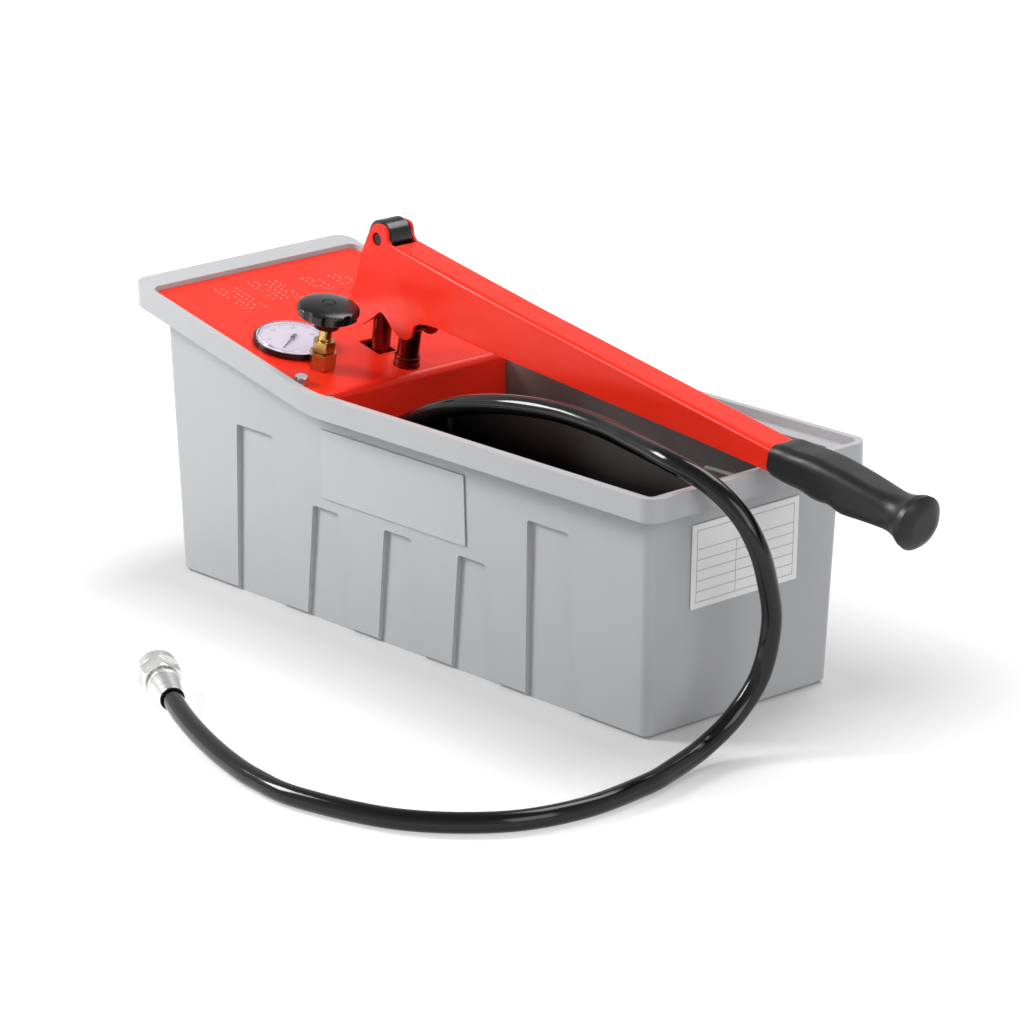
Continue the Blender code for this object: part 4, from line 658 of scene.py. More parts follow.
@dataclass(frozen=True)
class Finish:
    """A surface as its maker leaves it, with pattern sizes in millimetres."""

    name: str
    colour: str
    drift: str
    metallic: float = 0.0
    roughness: float = 0.4
    rough_spread: float = 0.08
    ior: float = 1.5
    coat: float = 0.0
    coat_roughness: float = 0.08
    drift_mm: float = 40.0
    grain_mm: float = 1.0
    grain_depth_mm: float = 0.01
    line_mm: float = 0.0
    line_depth_mm: float = 0.0
    scuff_mm: float = 12.0
    transmission: float = 0.0
    specular: float = 0.5

    def material(self, name: str, place: Matrix) -> bpy.types.Material:
        """Make this finish as a node material for one piece.

        Args:
            name: The material's name.
            place: Frame of the piece, whose +Z is the axis that lines run round.

        Returns:
            The material.
        """
        made = blank_material(name)
        tree = made.node_tree
        where = add_node(tree, "TexCoord")
        spot, turn, _ = place.inverted().decompose()
        local = add_node(tree, "Mapping", {"Location": spot, "Rotation": turn.to_euler()},
                         {"Vector": where.outputs["Object"]})
        drift = add_node(tree, "TexNoise", {"Scale": per_metre(self.drift_mm), "Detail": 4.0},
                         {"Vector": local})
        shades = {"data_type": "RGBA", 6: linear(self.colour), 7: linear(self.drift)}
        colour = add_node(tree, "Mix", shades, {0: drift})
        scuffs = {"Scale": per_metre(self.scuff_mm), "Detail": 6.0, "Roughness": 0.65}
        scuff = add_node(tree, "TexNoise", scuffs, {"Vector": local})
        smoothest = max(self.roughness - self.rough_spread, SMOOTHEST)
        rough = add_node(tree, "MapRange",
                         spread(*NOISE_REACH, smoothest, self.roughness + self.rough_spread),
                         {"Value": scuff})
        grain = add_node(tree, "TexNoise", {"Scale": per_metre(self.grain_mm), "Detail": 3.0},
                         {"Vector": local})
        normal = add_node(tree, "Bump", {"Distance": self.grain_depth_mm * MILLIMETRE},
                          {"Height": grain})
        if self.line_mm > 0.0:
            squeezed = add_node(tree, "Mapping", {"Scale": LINE_STRETCH}, {"Vector": local})
            lines = add_node(tree, "TexNoise", {"Scale": per_metre(self.line_mm), "Detail": 2.0},
                             {"Vector": squeezed})
            normal = add_node(tree, "Bump", {"Distance": self.line_depth_mm * MILLIMETRE},
                              {"Height": lines, "Normal": normal})
        surface = add_node(tree, "BsdfPrincipled", {
            "Metallic": self.metallic, "IOR": self.ior, "Coat Weight": self.coat,
            "Coat Roughness": self.coat_roughness, "Transmission Weight": self.transmission,
            "Specular IOR Level": self.specular},
            {"Base Color": colour.outputs[2], "Roughness": rough, "Normal": normal})
        if self.transmission > 0.0:
            clear = add_node(tree, "BsdfTransparent")
            shade = add_node(tree, "LightPath").outputs["Is Shadow Ray"]
            surface = add_node(tree, "MixShader", None, {0: shade, 1: surface, 2: clear})
        add_node(tree, "OutputMaterial", None, {"Surface": surface})
        return made

    def dress(self, piece: Piece, place: Matrix | None = None) -> Piece:
        """Give a piece this finish.

        Args:
            piece: The piece, in its place.
            place: Frame of the piece, if lines run round its own axis.

        Returns:
            The same piece.
        """
        piece.data.materials.clear()
        piece.data.materials.append(self.material(f"{self.name}_{piece.name}", place or Matrix.Identity(4)))
        return piece


# Injection-moulded polypropylene: satin, with faint flow clouds and a fine mould grain
TANK_PLASTIC = Finish("moulded_polypropylene", "#B9BABC", "#B1B2B5", roughness=0.34, rough_spread=0.06,
                      ior=1.49, drift_mm=90.0, grain_mm=1.4, grain_depth_mm=0.012, scuff_mm=25.0)
# Sprayed and baked enamel on sheet steel: bright gloss with a little orange peel
RED_ENAMEL = Finish("baked_enamel_red", "#F7301B", "#EE2915", roughness=0.34, rough_spread=0.06, coat=0.04,
                    specular=0.22, drift_mm=60.0, grain_mm=2.6, grain_depth_mm=0.012, scuff_mm=18.0)
# Zinc-plated turned steel: bright, with the tool's fine rings
PLATED_STEEL = Finish("zinc_plated_steel", "#F2F2F0", "#E6E6E5", metallic=1.0, roughness=0.24,
                      rough_spread=0.07, drift_mm=7.0, grain_mm=1.2, grain_depth_mm=0.003, line_mm=0.5,
                      line_depth_mm=0.006, scuff_mm=4.0)
# Oiled black-oxide steel: dark with a soft metal shine
BLACK_OXIDE = Finish("black_oxide_steel", "#3A3A3C", "#2C2C2E", metallic=1.0, roughness=0.3,
                     rough_spread=0.08, drift_mm=8.0, grain_mm=0.8, grain_depth_mm=0.004, line_mm=0.6,
                     line_depth_mm=0.004)
# Plunger, gland collar and link: polished steel whose dark brown-red colour is a painted reflection of the
# red cover round it, and painted shade under the lever
RED_REFLECTION_STEEL = Finish("steel_painted_red_reflection", "#7E2D24", "#6A211B", metallic=1.0, roughness=0.3,
                     rough_spread=0.06, drift_mm=9.0, grain_mm=0.9, grain_depth_mm=0.003, line_mm=0.6,
                     line_depth_mm=0.004)
# Sand-cast aluminium: pale grey, with the sand's pitted skin
CAST_ALUMINIUM = Finish("sand_cast_aluminium", "#8E8F8F", "#7B7C7D", metallic=1.0, roughness=0.55,
                        rough_spread=0.1, drift_mm=9.0, grain_mm=0.9, grain_depth_mm=0.08)
# Drawn and turned brass: warm yellow, bright on the turned parts
TURNED_BRASS = Finish("turned_brass", "#D2B070", "#C4A160", metallic=1.0, roughness=0.24, rough_spread=0.07,
                      drift_mm=6.0, grain_mm=1.0, grain_depth_mm=0.003, line_mm=0.5, line_depth_mm=0.006)
# Nitrile rubber grip: dark grey-black, matt sheen with a fine mould grain
GRIP_RUBBER = Finish("moulded_nitrile_rubber", "#212122", "#1A1A1B", roughness=0.38, rough_spread=0.08,
                     specular=0.28, drift_mm=30.0, grain_mm=0.9, grain_depth_mm=0.02, scuff_mm=9.0)
# Phenolic knob and gauge case: hard black with a low polish
BLACK_PHENOLIC = Finish("moulded_phenolic_black", "#131314", "#0E0E0F", roughness=0.24, rough_spread=0.08,
                        specular=0.34, ior=1.6, drift_mm=14.0, grain_mm=0.7, grain_depth_mm=0.01,
                        scuff_mm=6.0)
# Vinyl film: nearly the tank's own grey, flatter and smoother
VINYL_FILM = Finish("vinyl_film_grey", "#BDBEBF", "#B8B9BA", roughness=0.42, rough_spread=0.05,
                    drift_mm=50.0, grain_mm=3.5, grain_depth_mm=0.01, scuff_mm=20.0)
# Printed polyester label: white with a soft sheen
LABEL_FILM = Finish("polyester_label_white", "#FAFAFA", "#F4F4F5", roughness=0.4, rough_spread=0.05,
                    drift_mm=30.0, grain_mm=2.5, grain_depth_mm=0.006, scuff_mm=15.0)
# Printer's ink on the dial: matt and nearly black
BLACK_INK = Finish("printed_ink_black", "#2A2A2D", "#38383B", roughness=0.5, rough_spread=0.05,
                   drift_mm=5.0, grain_mm=0.6, grain_depth_mm=0.002)
# Printer's ink on the label: matt mid-grey
GREY_INK = Finish("printed_ink_grey", "#A6A7AA", "#B2B3B6", roughness=0.5, rough_spread=0.05,
                  drift_mm=5.0, grain_mm=0.6, grain_depth_mm=0.002)
# Enamelled aluminium dial: cool white, satin
DIAL_ENAMEL = Finish("dial_enamel_white", "#B1A7B2", "#A99FAB", roughness=0.38, rough_spread=0.04,
                     drift_mm=12.0, grain_mm=0.8, grain_depth_mm=0.002)
# Pressed acrylic lens: clear and polished
CLEAR_ACRYLIC = Finish("pressed_acrylic_clear", "#FBFBFD", "#F6F6FA", roughness=0.03, rough_spread=0.01,
                       ior=1.49, drift_mm=25.0, grain_mm=9.0, grain_depth_mm=0.004, transmission=1.0)
# Cover marks: pale pink enamel on the raised dashes, a painted highlight for the light caught on their tops
GLINT_PAINTED_ENAMEL = Finish("enamel_painted_glint_pale", "#F7A090", "#F28472", roughness=0.4, rough_spread=0.08, coat=0.3,
                     drift_mm=3.0, grain_mm=1.2, grain_depth_mm=0.01)


def show(piece: Piece, body: str, slot: Slot, *nodes: str) -> Piece:
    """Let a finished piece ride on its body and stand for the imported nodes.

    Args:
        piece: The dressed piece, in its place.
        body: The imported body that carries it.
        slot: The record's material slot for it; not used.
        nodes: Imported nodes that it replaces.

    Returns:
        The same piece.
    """
    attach(piece, body)
    if nodes:
        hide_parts(*nodes)
    LOG.info("%s: %d faces on %s", piece.name, len(piece.data.polygons), body)
    return piece


# Tank


def rim_rise(x: float) -> float:
    """Height of the rim above its level part, with the bend rounded.

    Args:
        x: Place along the tank.

    Returns:
        Metres above the level part.
    """
    run, grade = KINK_X - x, math.tan(SLOPE)
    if run <= -KINK_REACH:
        return 0.0
    if run >= KINK_REACH:
        return grade * run
    return grade * (run + KINK_REACH) ** 2 / (4.0 * KINK_REACH)


@dataclass
class Tank:
    """Open water tank: one moulding with a rim, a ledge and recessed walls."""

    skirt: float = 0.0155
    skirt_wall: float = 0.0028
    lip: float = 0.0048
    pump_end_rim: float = PUMP_END_RIM
    ledge: float = 0.003
    wall: float = 0.003
    wall_half: Pair = (0.2455, 0.0795)
    base_half: Pair = BASE_HALF
    base_round: float = BASE_ROUND
    floor: float = 0.0035
    rim_corner: float = 0.012
    wall_corner: float = 0.0065
    corner_steps: int = 8
    pitch: float = 0.0747
    recess_depth: float = 0.004
    draft: float = 0.001
    tall: Triple = (0.1205, 0.0197, 0.0257)
    short: Triple = (0.0810, 0.0139, 0.0246)
    recess_corner: float = 0.002
    bump_root: float = 0.7
    edge: float = 0.0006
    far_out: Pair = (0.003, 0.009)
    shoulder: Pair = (0.0012, 0.0026)
    kink_cuts: tuple[float, ...] = (1.0, 0.6, 0.2, -0.2, -0.6, -1.0)
    cloud_mm: float = 35.0
    cloud_reach: float = 0.012
    # Heights between which the painted shade inside falls from pale grey to near black
    shade_heights: Pair = (0.165, 0.1)
    inside_ior: float = 1.49

    def rim_section(self, inset: float, drop: float, end_inset: float | None = None) -> Ring:
        """Section of the rim, still level.

        Args:
            inset: How far inside the rim's outer edge.
            drop: How far below its top.
            end_inset: Another inset for the pump end, if it has one.

        Returns:
            The section.
        """
        end = inset if end_inset is None else end_inset
        return Ring((0.5 * (end - inset), 0.0, RIM_LOW - drop),
                    (0.5 * (RIM_LENGTH - inset - end), 0.5 * RIM_WIDTH - inset),
                    max(self.rim_corner - inset, self.wall_corner))

    def wall_section(self, half: Pair, inset: float, height: float) -> Ring:
        """Section of the walls at a height, a given inset inside its half length and half width."""
        return Ring((0.0, 0.0, height), (half[0] - inset, half[1] - inset),
                    max(self.wall_corner - inset, self.wall))

    def leaned(self, section: Ring) -> Ring:
        """The same section with its far side moved out to the far wall's face.

        Args:
            section: A section that is alike on both sides.

        Returns:
            The wider section.
        """
        out = self.far_out[0] + (self.far_out[1] - self.far_out[0]) * section.centre[2] / RIM_LOW
        return Ring((section.centre[0], 0.5 * out, section.centre[2]),
                    (section.half[0], section.half[1] + 0.5 * out), section.corner)

    def below_rim(self, drop: float) -> Ring:
        """Section of the walls below the ledge.

        Args:
            drop: Depth below the ledge's underside.

        Returns:
            The section.
        """
        top = RIM_LOW - LIP_DEPTH - self.ledge
        share = drop / (top - self.base_round)
        half = [wide + (foot - wide) * share for wide, foot in zip(self.wall_half, self.base_half)]
        return self.wall_section((half[0], half[1]), 0.0, top - drop)

    def raise_rim(self, piece: Piece) -> None:
        """Lift the rim's pump end along its slope, one column of points at a time.

        Args:
            piece: The level loft.
        """
        with editing(piece):
            for share in self.kink_cuts:
                bpy.ops.mesh.select_all(action="SELECT")
                place = (KINK_X + share * KINK_REACH, 0.0, 0.0)
                bpy.ops.mesh.bisect(plane_co=place, plane_no=(1.0, 0.0, 0.0))
            shape = bmesh.from_edit_mesh(piece.data)
            upper = 0.5 * RIM_LOW
            columns = {round(v.co.x / WELD) for v in shape.verts if v.co.z > upper and rim_rise(v.co.x) > 0.0}
            for column in sorted(columns):
                pick(piece, Element.VERT, lambda v: v.co.z > upper and round(v.co.x / WELD) == column)
                bpy.ops.transform.translate(value=(0.0, 0.0, rim_rise(column * WELD)))

    def wedge(self, size: Triple, grow: float, low: float, near: float, far: float) -> Piece:
        """Tapered block with the outline of a recess.

        Args:
            size: Top height, half width at the top and half width at the floor.
            grow: How much larger than the recess it is all round.
            low: Height of its foot.
            near: Its y outside the wall.
            far: Its y behind the wall, where it is narrower by the draft.

        Returns:
            The block for the near wall at the middle place.
        """
        top, half_top, half_bottom = size[0] + grow, size[1] + grow, size[2] + grow
        outline = [(half_bottom, low), (half_top, top), (-half_top, top), (-half_bottom, low)]
        piece = plate("recess_wedge", outline, near, far)
        with editing(piece):
            pick(piece, Element.EDGE, lambda e: all(v.co.z > 0.5 * top for v in e.verts)
                 and abs(e.verts[0].co.y - e.verts[1].co.y) > 0.5 * (far - near))
            bpy.ops.mesh.bevel(offset=self.recess_corner + grow, segments=6, affect="EDGES")
            pick(piece, Element.FACE, lambda f: abs(f.calc_center_median().y - far) < WELD)
            bpy.ops.transform.resize(value=(1.0 - self.draft / half_bottom, 1.0, 1.0 - self.draft / top),
                                     center_override=(0.0, far, low))
        return piece

    def press(self, shell: Piece, way: Cut, grow: float, low: float, near: float, far: float) -> None:
        """Add or cut all ten wedges.

        Args:
            shell: The tank's solid.
            way: Union for the bumps inside, difference for the recesses outside.
            grow: How much larger than the recess the wedges are.
            low: Height of their foot.
            near: Their y outside the near wall.
            far: Their y behind it.
        """
        follow = Matrix.Identity(4)
        if way is Cut.DIFFERENCE:
            low_out, high_out = self.far_out
            lean = math.atan2(high_out - low_out, RIM_LOW)
            rise = self.wall_half[1] * math.sin(lean)
            follow = Matrix.Translation((0.0, low_out, rise)) @ Matrix.Rotation(-lean, 4, "X")
        for place in (-2, -1, 0, 1, 2):
            size = self.tall if abs(place) == 2 else self.short
            shift = Matrix.Translation((place * self.pitch, 0.0, 0.0))
            near_wedge = self.wedge(size, grow, low, near, far)
            far_wedge = copied(near_wedge, "recess_wedge_far", Matrix.Rotation(math.pi, 4, "Z"))
            cut(shell, settle(near_wedge, shift), way)
            cut(shell, settle(far_wedge, shift @ follow), way)

    def looks_inside(self, face: bmesh.types.BMFace) -> bool:
        """Whether a face of the finished tank looks into it, below the ledge.

        Args:
            face: The face.

        Returns:
            True for the inner walls, the bumps' sides and the floor.
        """
        centre, normal = face.calc_center_median(), face.normal
        lean = (self.wall_half[1] - self.base_half[1]) / RIM_LOW
        if centre.z > RIM_LOW - LIP_DEPTH + rim_rise(centre.x) - GAP or abs(normal.z) > math.cos(FACE_SPREAD):
            return normal.z > 0.0 and centre.z < self.floor + self.base_round
        if abs(centre.y) > self.wall_half[1] or abs(centre.x) > self.wall_half[0]:
            return False
        if abs(normal.x) > math.sin(FACE_SPREAD) and abs(centre.x) < 3.0 * self.pitch:
            return abs(centre.y) < self.base_half[1] - self.recess_depth + 0.5 * MILLIMETRE + lean * centre.z
        return normal.x * centre.x + normal.y * centre.y < 0.0

    def painted_shade_inside(self) -> bpy.types.Material:
        """Inside faces: the same plastic with painted shade, pale near the rim and darker down toward the
        floor, the line of the change jittered by a noise cloud.

        Returns:
            The material.
        """
        made = blank_material("moulded_polypropylene_painted_shade")
        tree = made.node_tree
        where = add_node(tree, "TexCoord")
        height = add_node(tree, "SeparateXYZ", None, {"Vector": where.outputs["Object"]})
        cloud = add_node(tree, "TexNoise", {"Scale": per_metre(self.cloud_mm), "Detail": 4.0},
                         {"Vector": where.outputs["Object"]})
        level = add_node(tree, "Math", {"operation": "MULTIPLY_ADD", 1: self.cloud_reach},
                         {0: cloud, 2: height.outputs["Z"]})
        share = add_node(tree, "MapRange", spread(*self.shade_heights, 0.0, 1.0),
                         {"Value": level})
        # Painted shade: pale grey high on the inside walls, near black lower down
        shades = {"data_type": "RGBA", 6: linear("#9A9998"), 7: linear("#1B1918")}
        colour = add_node(tree, "Mix", shades, {0: share})
        rough = add_node(tree, "MapRange", spread(0.0, 1.0, 0.4, 0.55), {"Value": cloud})
        shader = add_node(tree, "BsdfPrincipled", {"IOR": self.inside_ior, "Specular IOR Level": 0.3},
                          {"Base Color": colour.outputs[2], "Roughness": rough})
        add_node(tree, "OutputMaterial", None, {"Surface": shader})
        return made

    def build(self) -> None:
        """Loft, press and round the tank, and let it ride on the base."""
        under = LIP_DEPTH + self.ledge
        step = self.skirt + self.shoulder[0] - under
        inside = (self.base_half[0] - self.wall, self.base_half[1] - self.wall)
        shell = lofted("tank_moulding", [
            self.leaned(self.wall_section(self.base_half, self.base_round, 0.0)),
            self.leaned(self.wall_section(self.base_half, 0.0, self.base_round)),
            self.leaned(self.below_rim(step)),
            self.below_rim(step - self.shoulder[1]),
            self.wall_section(self.wall_half, 0.0, RIM_LOW - under),
            self.rim_section(self.skirt_wall, under),
            self.rim_section(self.skirt_wall, self.skirt),
            self.rim_section(0.0, self.skirt),
            self.rim_section(0.0, 0.0),
            self.rim_section(self.lip, 0.0, self.pump_end_rim),
            self.rim_section(self.lip, LIP_DEPTH, self.pump_end_rim),
            self.wall_section(self.wall_half, self.wall, RIM_LOW - LIP_DEPTH),
            self.wall_section(inside, 0.0, self.floor + self.base_round),
            self.wall_section(inside, self.base_round, self.floor),
        ], self.corner_steps)
        self.raise_rim(shell)
        face = -self.wall_half[1]
        self.press(shell, Cut.UNION, self.wall, 0.5 * self.floor, face + self.bump_root * self.wall,
                   face + self.recess_depth + self.wall)
        self.press(shell, Cut.DIFFERENCE, 0.0, -CUT, face - CUT, face + self.recess_depth)
        tidy_flats(shell)
        round_edges(shell, self.edge, 3, 24.0)
        smooth(shell, 32.0)
        TANK_PLASTIC.dress(shell)
        # Inside faces take the plastic with painted shade
        shell.data.materials.append(self.painted_shade_inside())
        with editing(shell):
            pick(shell, Element.FACE, self.looks_inside)
            shell.active_material_index = 1
            bpy.ops.object.material_slot_assign()
        show(shell, "base", Slot.TANK, "tank")


# Studio


@dataclass
class Studio:
    """Camera, lamps, floor and sky: a pale, softly lit studio."""

    target: Triple = (0.016757, 0.006279, 0.08073)
    distance: float = 3.0505
    azimuth: float = math.radians(49.155)
    elevation: float = math.radians(17.508)
    roll: float = math.radians(-0.949)
    lens_mm: float = 161.6
    sensor_mm: float = 36.0
    floor_half: float = 6.0
    floor_z: float = -0.0002
    white: str = "#FFFFFF"
    paper: str = "#C6C6C6"
    sky_light: float = 0.36
    sky_in_gloss: Quad = (0.25, 0.8, 0.75, 0.0)
    footprint: Triple = (0.238, 0.08, 0.0)
    # Glow by distance from the footprint: low near it as painted contact shade, high further off as painted
    # light over the lamps' shadows
    glow_near: Quad = (0.02, 0.14, 0.1, 0.5)
    glow_far: Quad = (0.14, 0.9, 0.0, 0.4)
    lamps: tuple[tuple[str, Triple, float, float], ...] = (
        ("key_lamp", (-0.85, -0.85, 0.95), 0.5, 18.5),
        ("fill_lamp", (2.4, -0.4, 1.2), 1.4, 20.0),
        ("top_lamp", (0.1, 1.2, 2.2), 1.3, 32.0))

    def camera(self) -> None:
        """Set the camera at the photograph's angle."""
        azimuth, elevation = self.azimuth, self.elevation
        back = Vector((math.sin(azimuth) * math.cos(elevation), -math.cos(azimuth) * math.cos(elevation),
                       math.sin(elevation)))
        right = Vector((math.cos(azimuth), math.sin(azimuth), 0.0))
        up = back.cross(right)
        across = right * math.cos(self.roll) + up * math.sin(self.roll)
        upward = up * math.cos(self.roll) - right * math.sin(self.roll)
        lens = bpy.data.cameras.new("photo_camera")
        lens.lens, lens.sensor_width = self.lens_mm, self.sensor_mm
        camera = bpy.data.objects.new("photo_camera", lens)
        bpy.context.scene.collection.objects.link(camera)
        turn = Matrix((across, upward, back)).transposed().to_4x4()
        camera.matrix_world = Matrix.Translation(Vector(self.target) + back * self.distance) @ turn
        bpy.context.scene.camera = camera
        bpy.context.scene.view_settings.view_transform = "Standard"

    def lamp(self, name: str, place: Triple, size: float, power: float) -> None:
        """Hang one square soft lamp that looks at the part.

        Args:
            name: The lamp's name.
            place: Where it hangs.
            size: Length of its side, in metres.
            power: Watts.
        """
        light = bpy.data.lights.new(name, "AREA")
        light.shape, light.size, light.energy = "SQUARE", size, power
        lamp = bpy.data.objects.new(name, light)
        bpy.context.scene.collection.objects.link(lamp)
        way = (Vector(self.target) - Vector(place)).to_track_quat("-Z", "Y")
        lamp.matrix_world = Matrix.Translation(place) @ way.to_matrix().to_4x4()

    def surroundings(self) -> None:
        """Pale sky that also shows in gloss, with less light for matt surfaces."""
        world = bpy.data.worlds.new("studio_sky")
        bpy.context.scene.world = world
        world.use_nodes = True
        tree = world.node_tree
        tree.nodes.clear()
        ray = add_node(tree, "LightPath")
        where = add_node(tree, "TexCoord")
        height = add_node(tree, "SeparateXYZ", None, {"Vector": where.outputs["Generated"]})
        ceiling = add_node(tree, "MapRange", spread(*self.sky_in_gloss), {"Value": height.outputs["Z"]})
        gloss = add_node(tree, "Math", {"operation": "MULTIPLY"},
                         {0: ray.outputs["Is Glossy Ray"], 1: ceiling})
        clear = add_node(tree, "Math", {"operation": "MAXIMUM"},
                         {0: ray.outputs["Is Camera Ray"], 1: ray.outputs["Is Transmission Ray"]})
        seen = add_node(tree, "Math", {"operation": "MAXIMUM"},
                        {0: clear, 1: gloss})
        strength = add_node(tree, "MapRange", spread(0.0, 1.0, self.sky_light, 1.0),
                            {"Value": seen})
        sky = add_node(tree, "Background", {"Color": linear(self.white)},
                       {"Strength": strength})
        add_node(tree, "OutputWorld", None, {"Surface": sky})

    def floor(self) -> None:
        """Pale paper floor whose glow, seen by the camera and in gloss, is weak near the part's footprint and
        rises to white away from it: painted contact shade near the part, and painted light that washes out
        the lamps' shadows further off.
        """
        bpy.ops.object.select_all(action="DESELECT")
        bpy.ops.mesh.primitive_plane_add(size=2.0 * self.floor_half, location=(0.0, 0.0, self.floor_z))
        floor = name_piece(bpy.context.active_object, "studio_floor")
        paper = blank_material("studio_paper")
        tree = paper.node_tree
        ray = add_node(tree, "LightPath")
        matt = add_node(tree, "BsdfDiffuse", {"Color": linear(self.paper)})
        seen = add_node(tree, "Math", {"operation": "MAXIMUM"},
                        {0: ray.outputs["Is Camera Ray"], 1: ray.outputs["Is Glossy Ray"]})
        where = add_node(tree, "TexCoord")
        side = add_node(tree, "VectorMath", {"operation": "ABSOLUTE"}, {0: where.outputs["Object"]})
        past = add_node(tree, "VectorMath", {"operation": "SUBTRACT", 1: self.footprint},
                        {0: side})
        apart = add_node(tree, "VectorMath", {"operation": "MAXIMUM", 1: (0.0, 0.0, 0.0)},
                         {0: past})
        away = add_node(tree, "VectorMath", {"operation": "LENGTH"}, {0: apart})
        near, far = (add_node(tree, "MapRange", spread(*glow), {"Value": away.outputs["Value"]})
                     for glow in (self.glow_near, self.glow_far))
        fade = add_node(tree, "Math", {"operation": "ADD"},
                        {0: near, 1: far})
        power = add_node(tree, "Math", {"operation": "MULTIPLY"},
                         {0: seen, 1: fade})
        light = add_node(tree, "Emission", {"Color": linear(self.white)},
                         {"Strength": power})
        both = add_node(tree, "AddShader", None, {0: matt, 1: light})
        add_node(tree, "OutputMaterial", None, {"Surface": both})
        floor.data.materials.append(paper)

    def build(self) -> None:
        """Set up the whole studio."""
        self.camera()
        self.surroundings()
        self.floor()
        for lamp in self.lamps:
            self.lamp(*lamp)


# Hose and its end fitting


@dataclass
class Hose:
    """Pressure hose: a fixed length of rubber from the outlet to the swivel nut."""

    radius: float = HOSE_RADIUS
    points: int = 300
    sides: int = 7
    braid_mm: float = 2.2
    braid_depth_mm: float = 0.015
    skin_mm: float = 30.0
    route: tuple[Triple, ...] = (
        (-0.0880, -0.0420, 0.1074), (-0.0700, -0.0420, 0.1178), (-0.0340, -0.0430, 0.1406),
        (0.0158, -0.0453, 0.1631), (0.0671, -0.0457, 0.1763), (0.1169, -0.0427, 0.1812),
        (0.1613, -0.0455, 0.1816), (0.2011, -0.0545, 0.1820), (0.2438, -0.0626, 0.1805),
        (0.2733, -0.0575, 0.1714), (0.2924, -0.0497, 0.1546), (0.3019, -0.0434, 0.1346),
        (0.3040, -0.0375, 0.1132), (0.3002, -0.0293, 0.0833), (0.2958, -0.0342, 0.0490),
        (0.2919, -0.0522, 0.0250), (0.2923, -0.0793, 0.0111), (0.3004, -0.1137, 0.0073),
        (0.3073, -0.1425, 0.0069), (0.3102, -0.1970, 0.0069), (0.2935, -0.2458, 0.0069),
        (0.2479, -0.2873, 0.0069), (0.1802, -0.3077, 0.0069), (0.1360, -0.3068, 0.0070),
        (0.1025, -0.3005, 0.0073), (0.0740, -0.2930, 0.0081), (0.0470, -0.2846, 0.0092),
        (0.0205, -0.2748, 0.0106), (-0.0017, -0.2652, 0.0120), (-0.0144, -0.2593, 0.0130),
    )

    def rubber(self) -> bpy.types.Material:
        """Extruded rubber hose: black and glossy, with the cord of its braid showing faintly through.

        Returns:
            The material.
        """
        made = blank_material("extruded_rubber_hose")
        tree = made.node_tree
        where = add_node(tree, "TexCoord").outputs["Object"]
        braids = {"Scale": per_metre(self.braid_mm), "Detail": 2.0}
        braid = add_node(tree, "TexNoise", braids, {"Vector": where})
        skins = {"Scale": per_metre(self.skin_mm), "Detail": 5.0}
        skin = add_node(tree, "TexNoise", skins, {"Vector": where})
        shades = {"data_type": "RGBA", 6: linear("#0B0B0C"), 7: linear("#060607")}
        colour = add_node(tree, "Mix", shades, {0: skin})
        rough = add_node(tree, "MapRange", spread(*NOISE_REACH, 0.1, 0.17),
                         {"Value": skin})
        bump = add_node(tree, "Bump", {"Distance": self.braid_depth_mm * MILLIMETRE},
                        {"Height": braid})
        shader = add_node(tree, "BsdfPrincipled", {"IOR": 1.52, "Specular IOR Level": 0.34},
                          {"Base Color": colour.outputs[2], "Roughness": rough,
                           "Normal": bump})
        add_node(tree, "OutputMaterial", None, {"Surface": shader})
        return made

    def build(self, with_pieces: Sequence[str]) -> None:
        """Args:
            with_pieces: Names of the pieces on its free end; not used.
        """
        line = smooth_line(self.route, self.points)
        shape = bpy.data.curves.new("hose_rubber", "CURVE")
        shape.dimensions = "3D"
        shape.resolution_u = 1
        shape.render_resolution_u = 0
        shape.bevel_depth = self.radius
        shape.bevel_resolution = self.sides
        shape.use_fill_caps = True
        spline = shape.splines.new("POLY")
        spline.points.add(len(line) - 1)
        for point, spot in zip(spline.points, line):
            point.co = (*spot, 1.0)
        spline.use_smooth = True
        hose = bpy.data.objects.new("hose_rubber", shape)
        bpy.context.scene.collection.objects.link(hose)
        shape.materials.append(self.rubber())
        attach(hose, "base")
        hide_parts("hose")


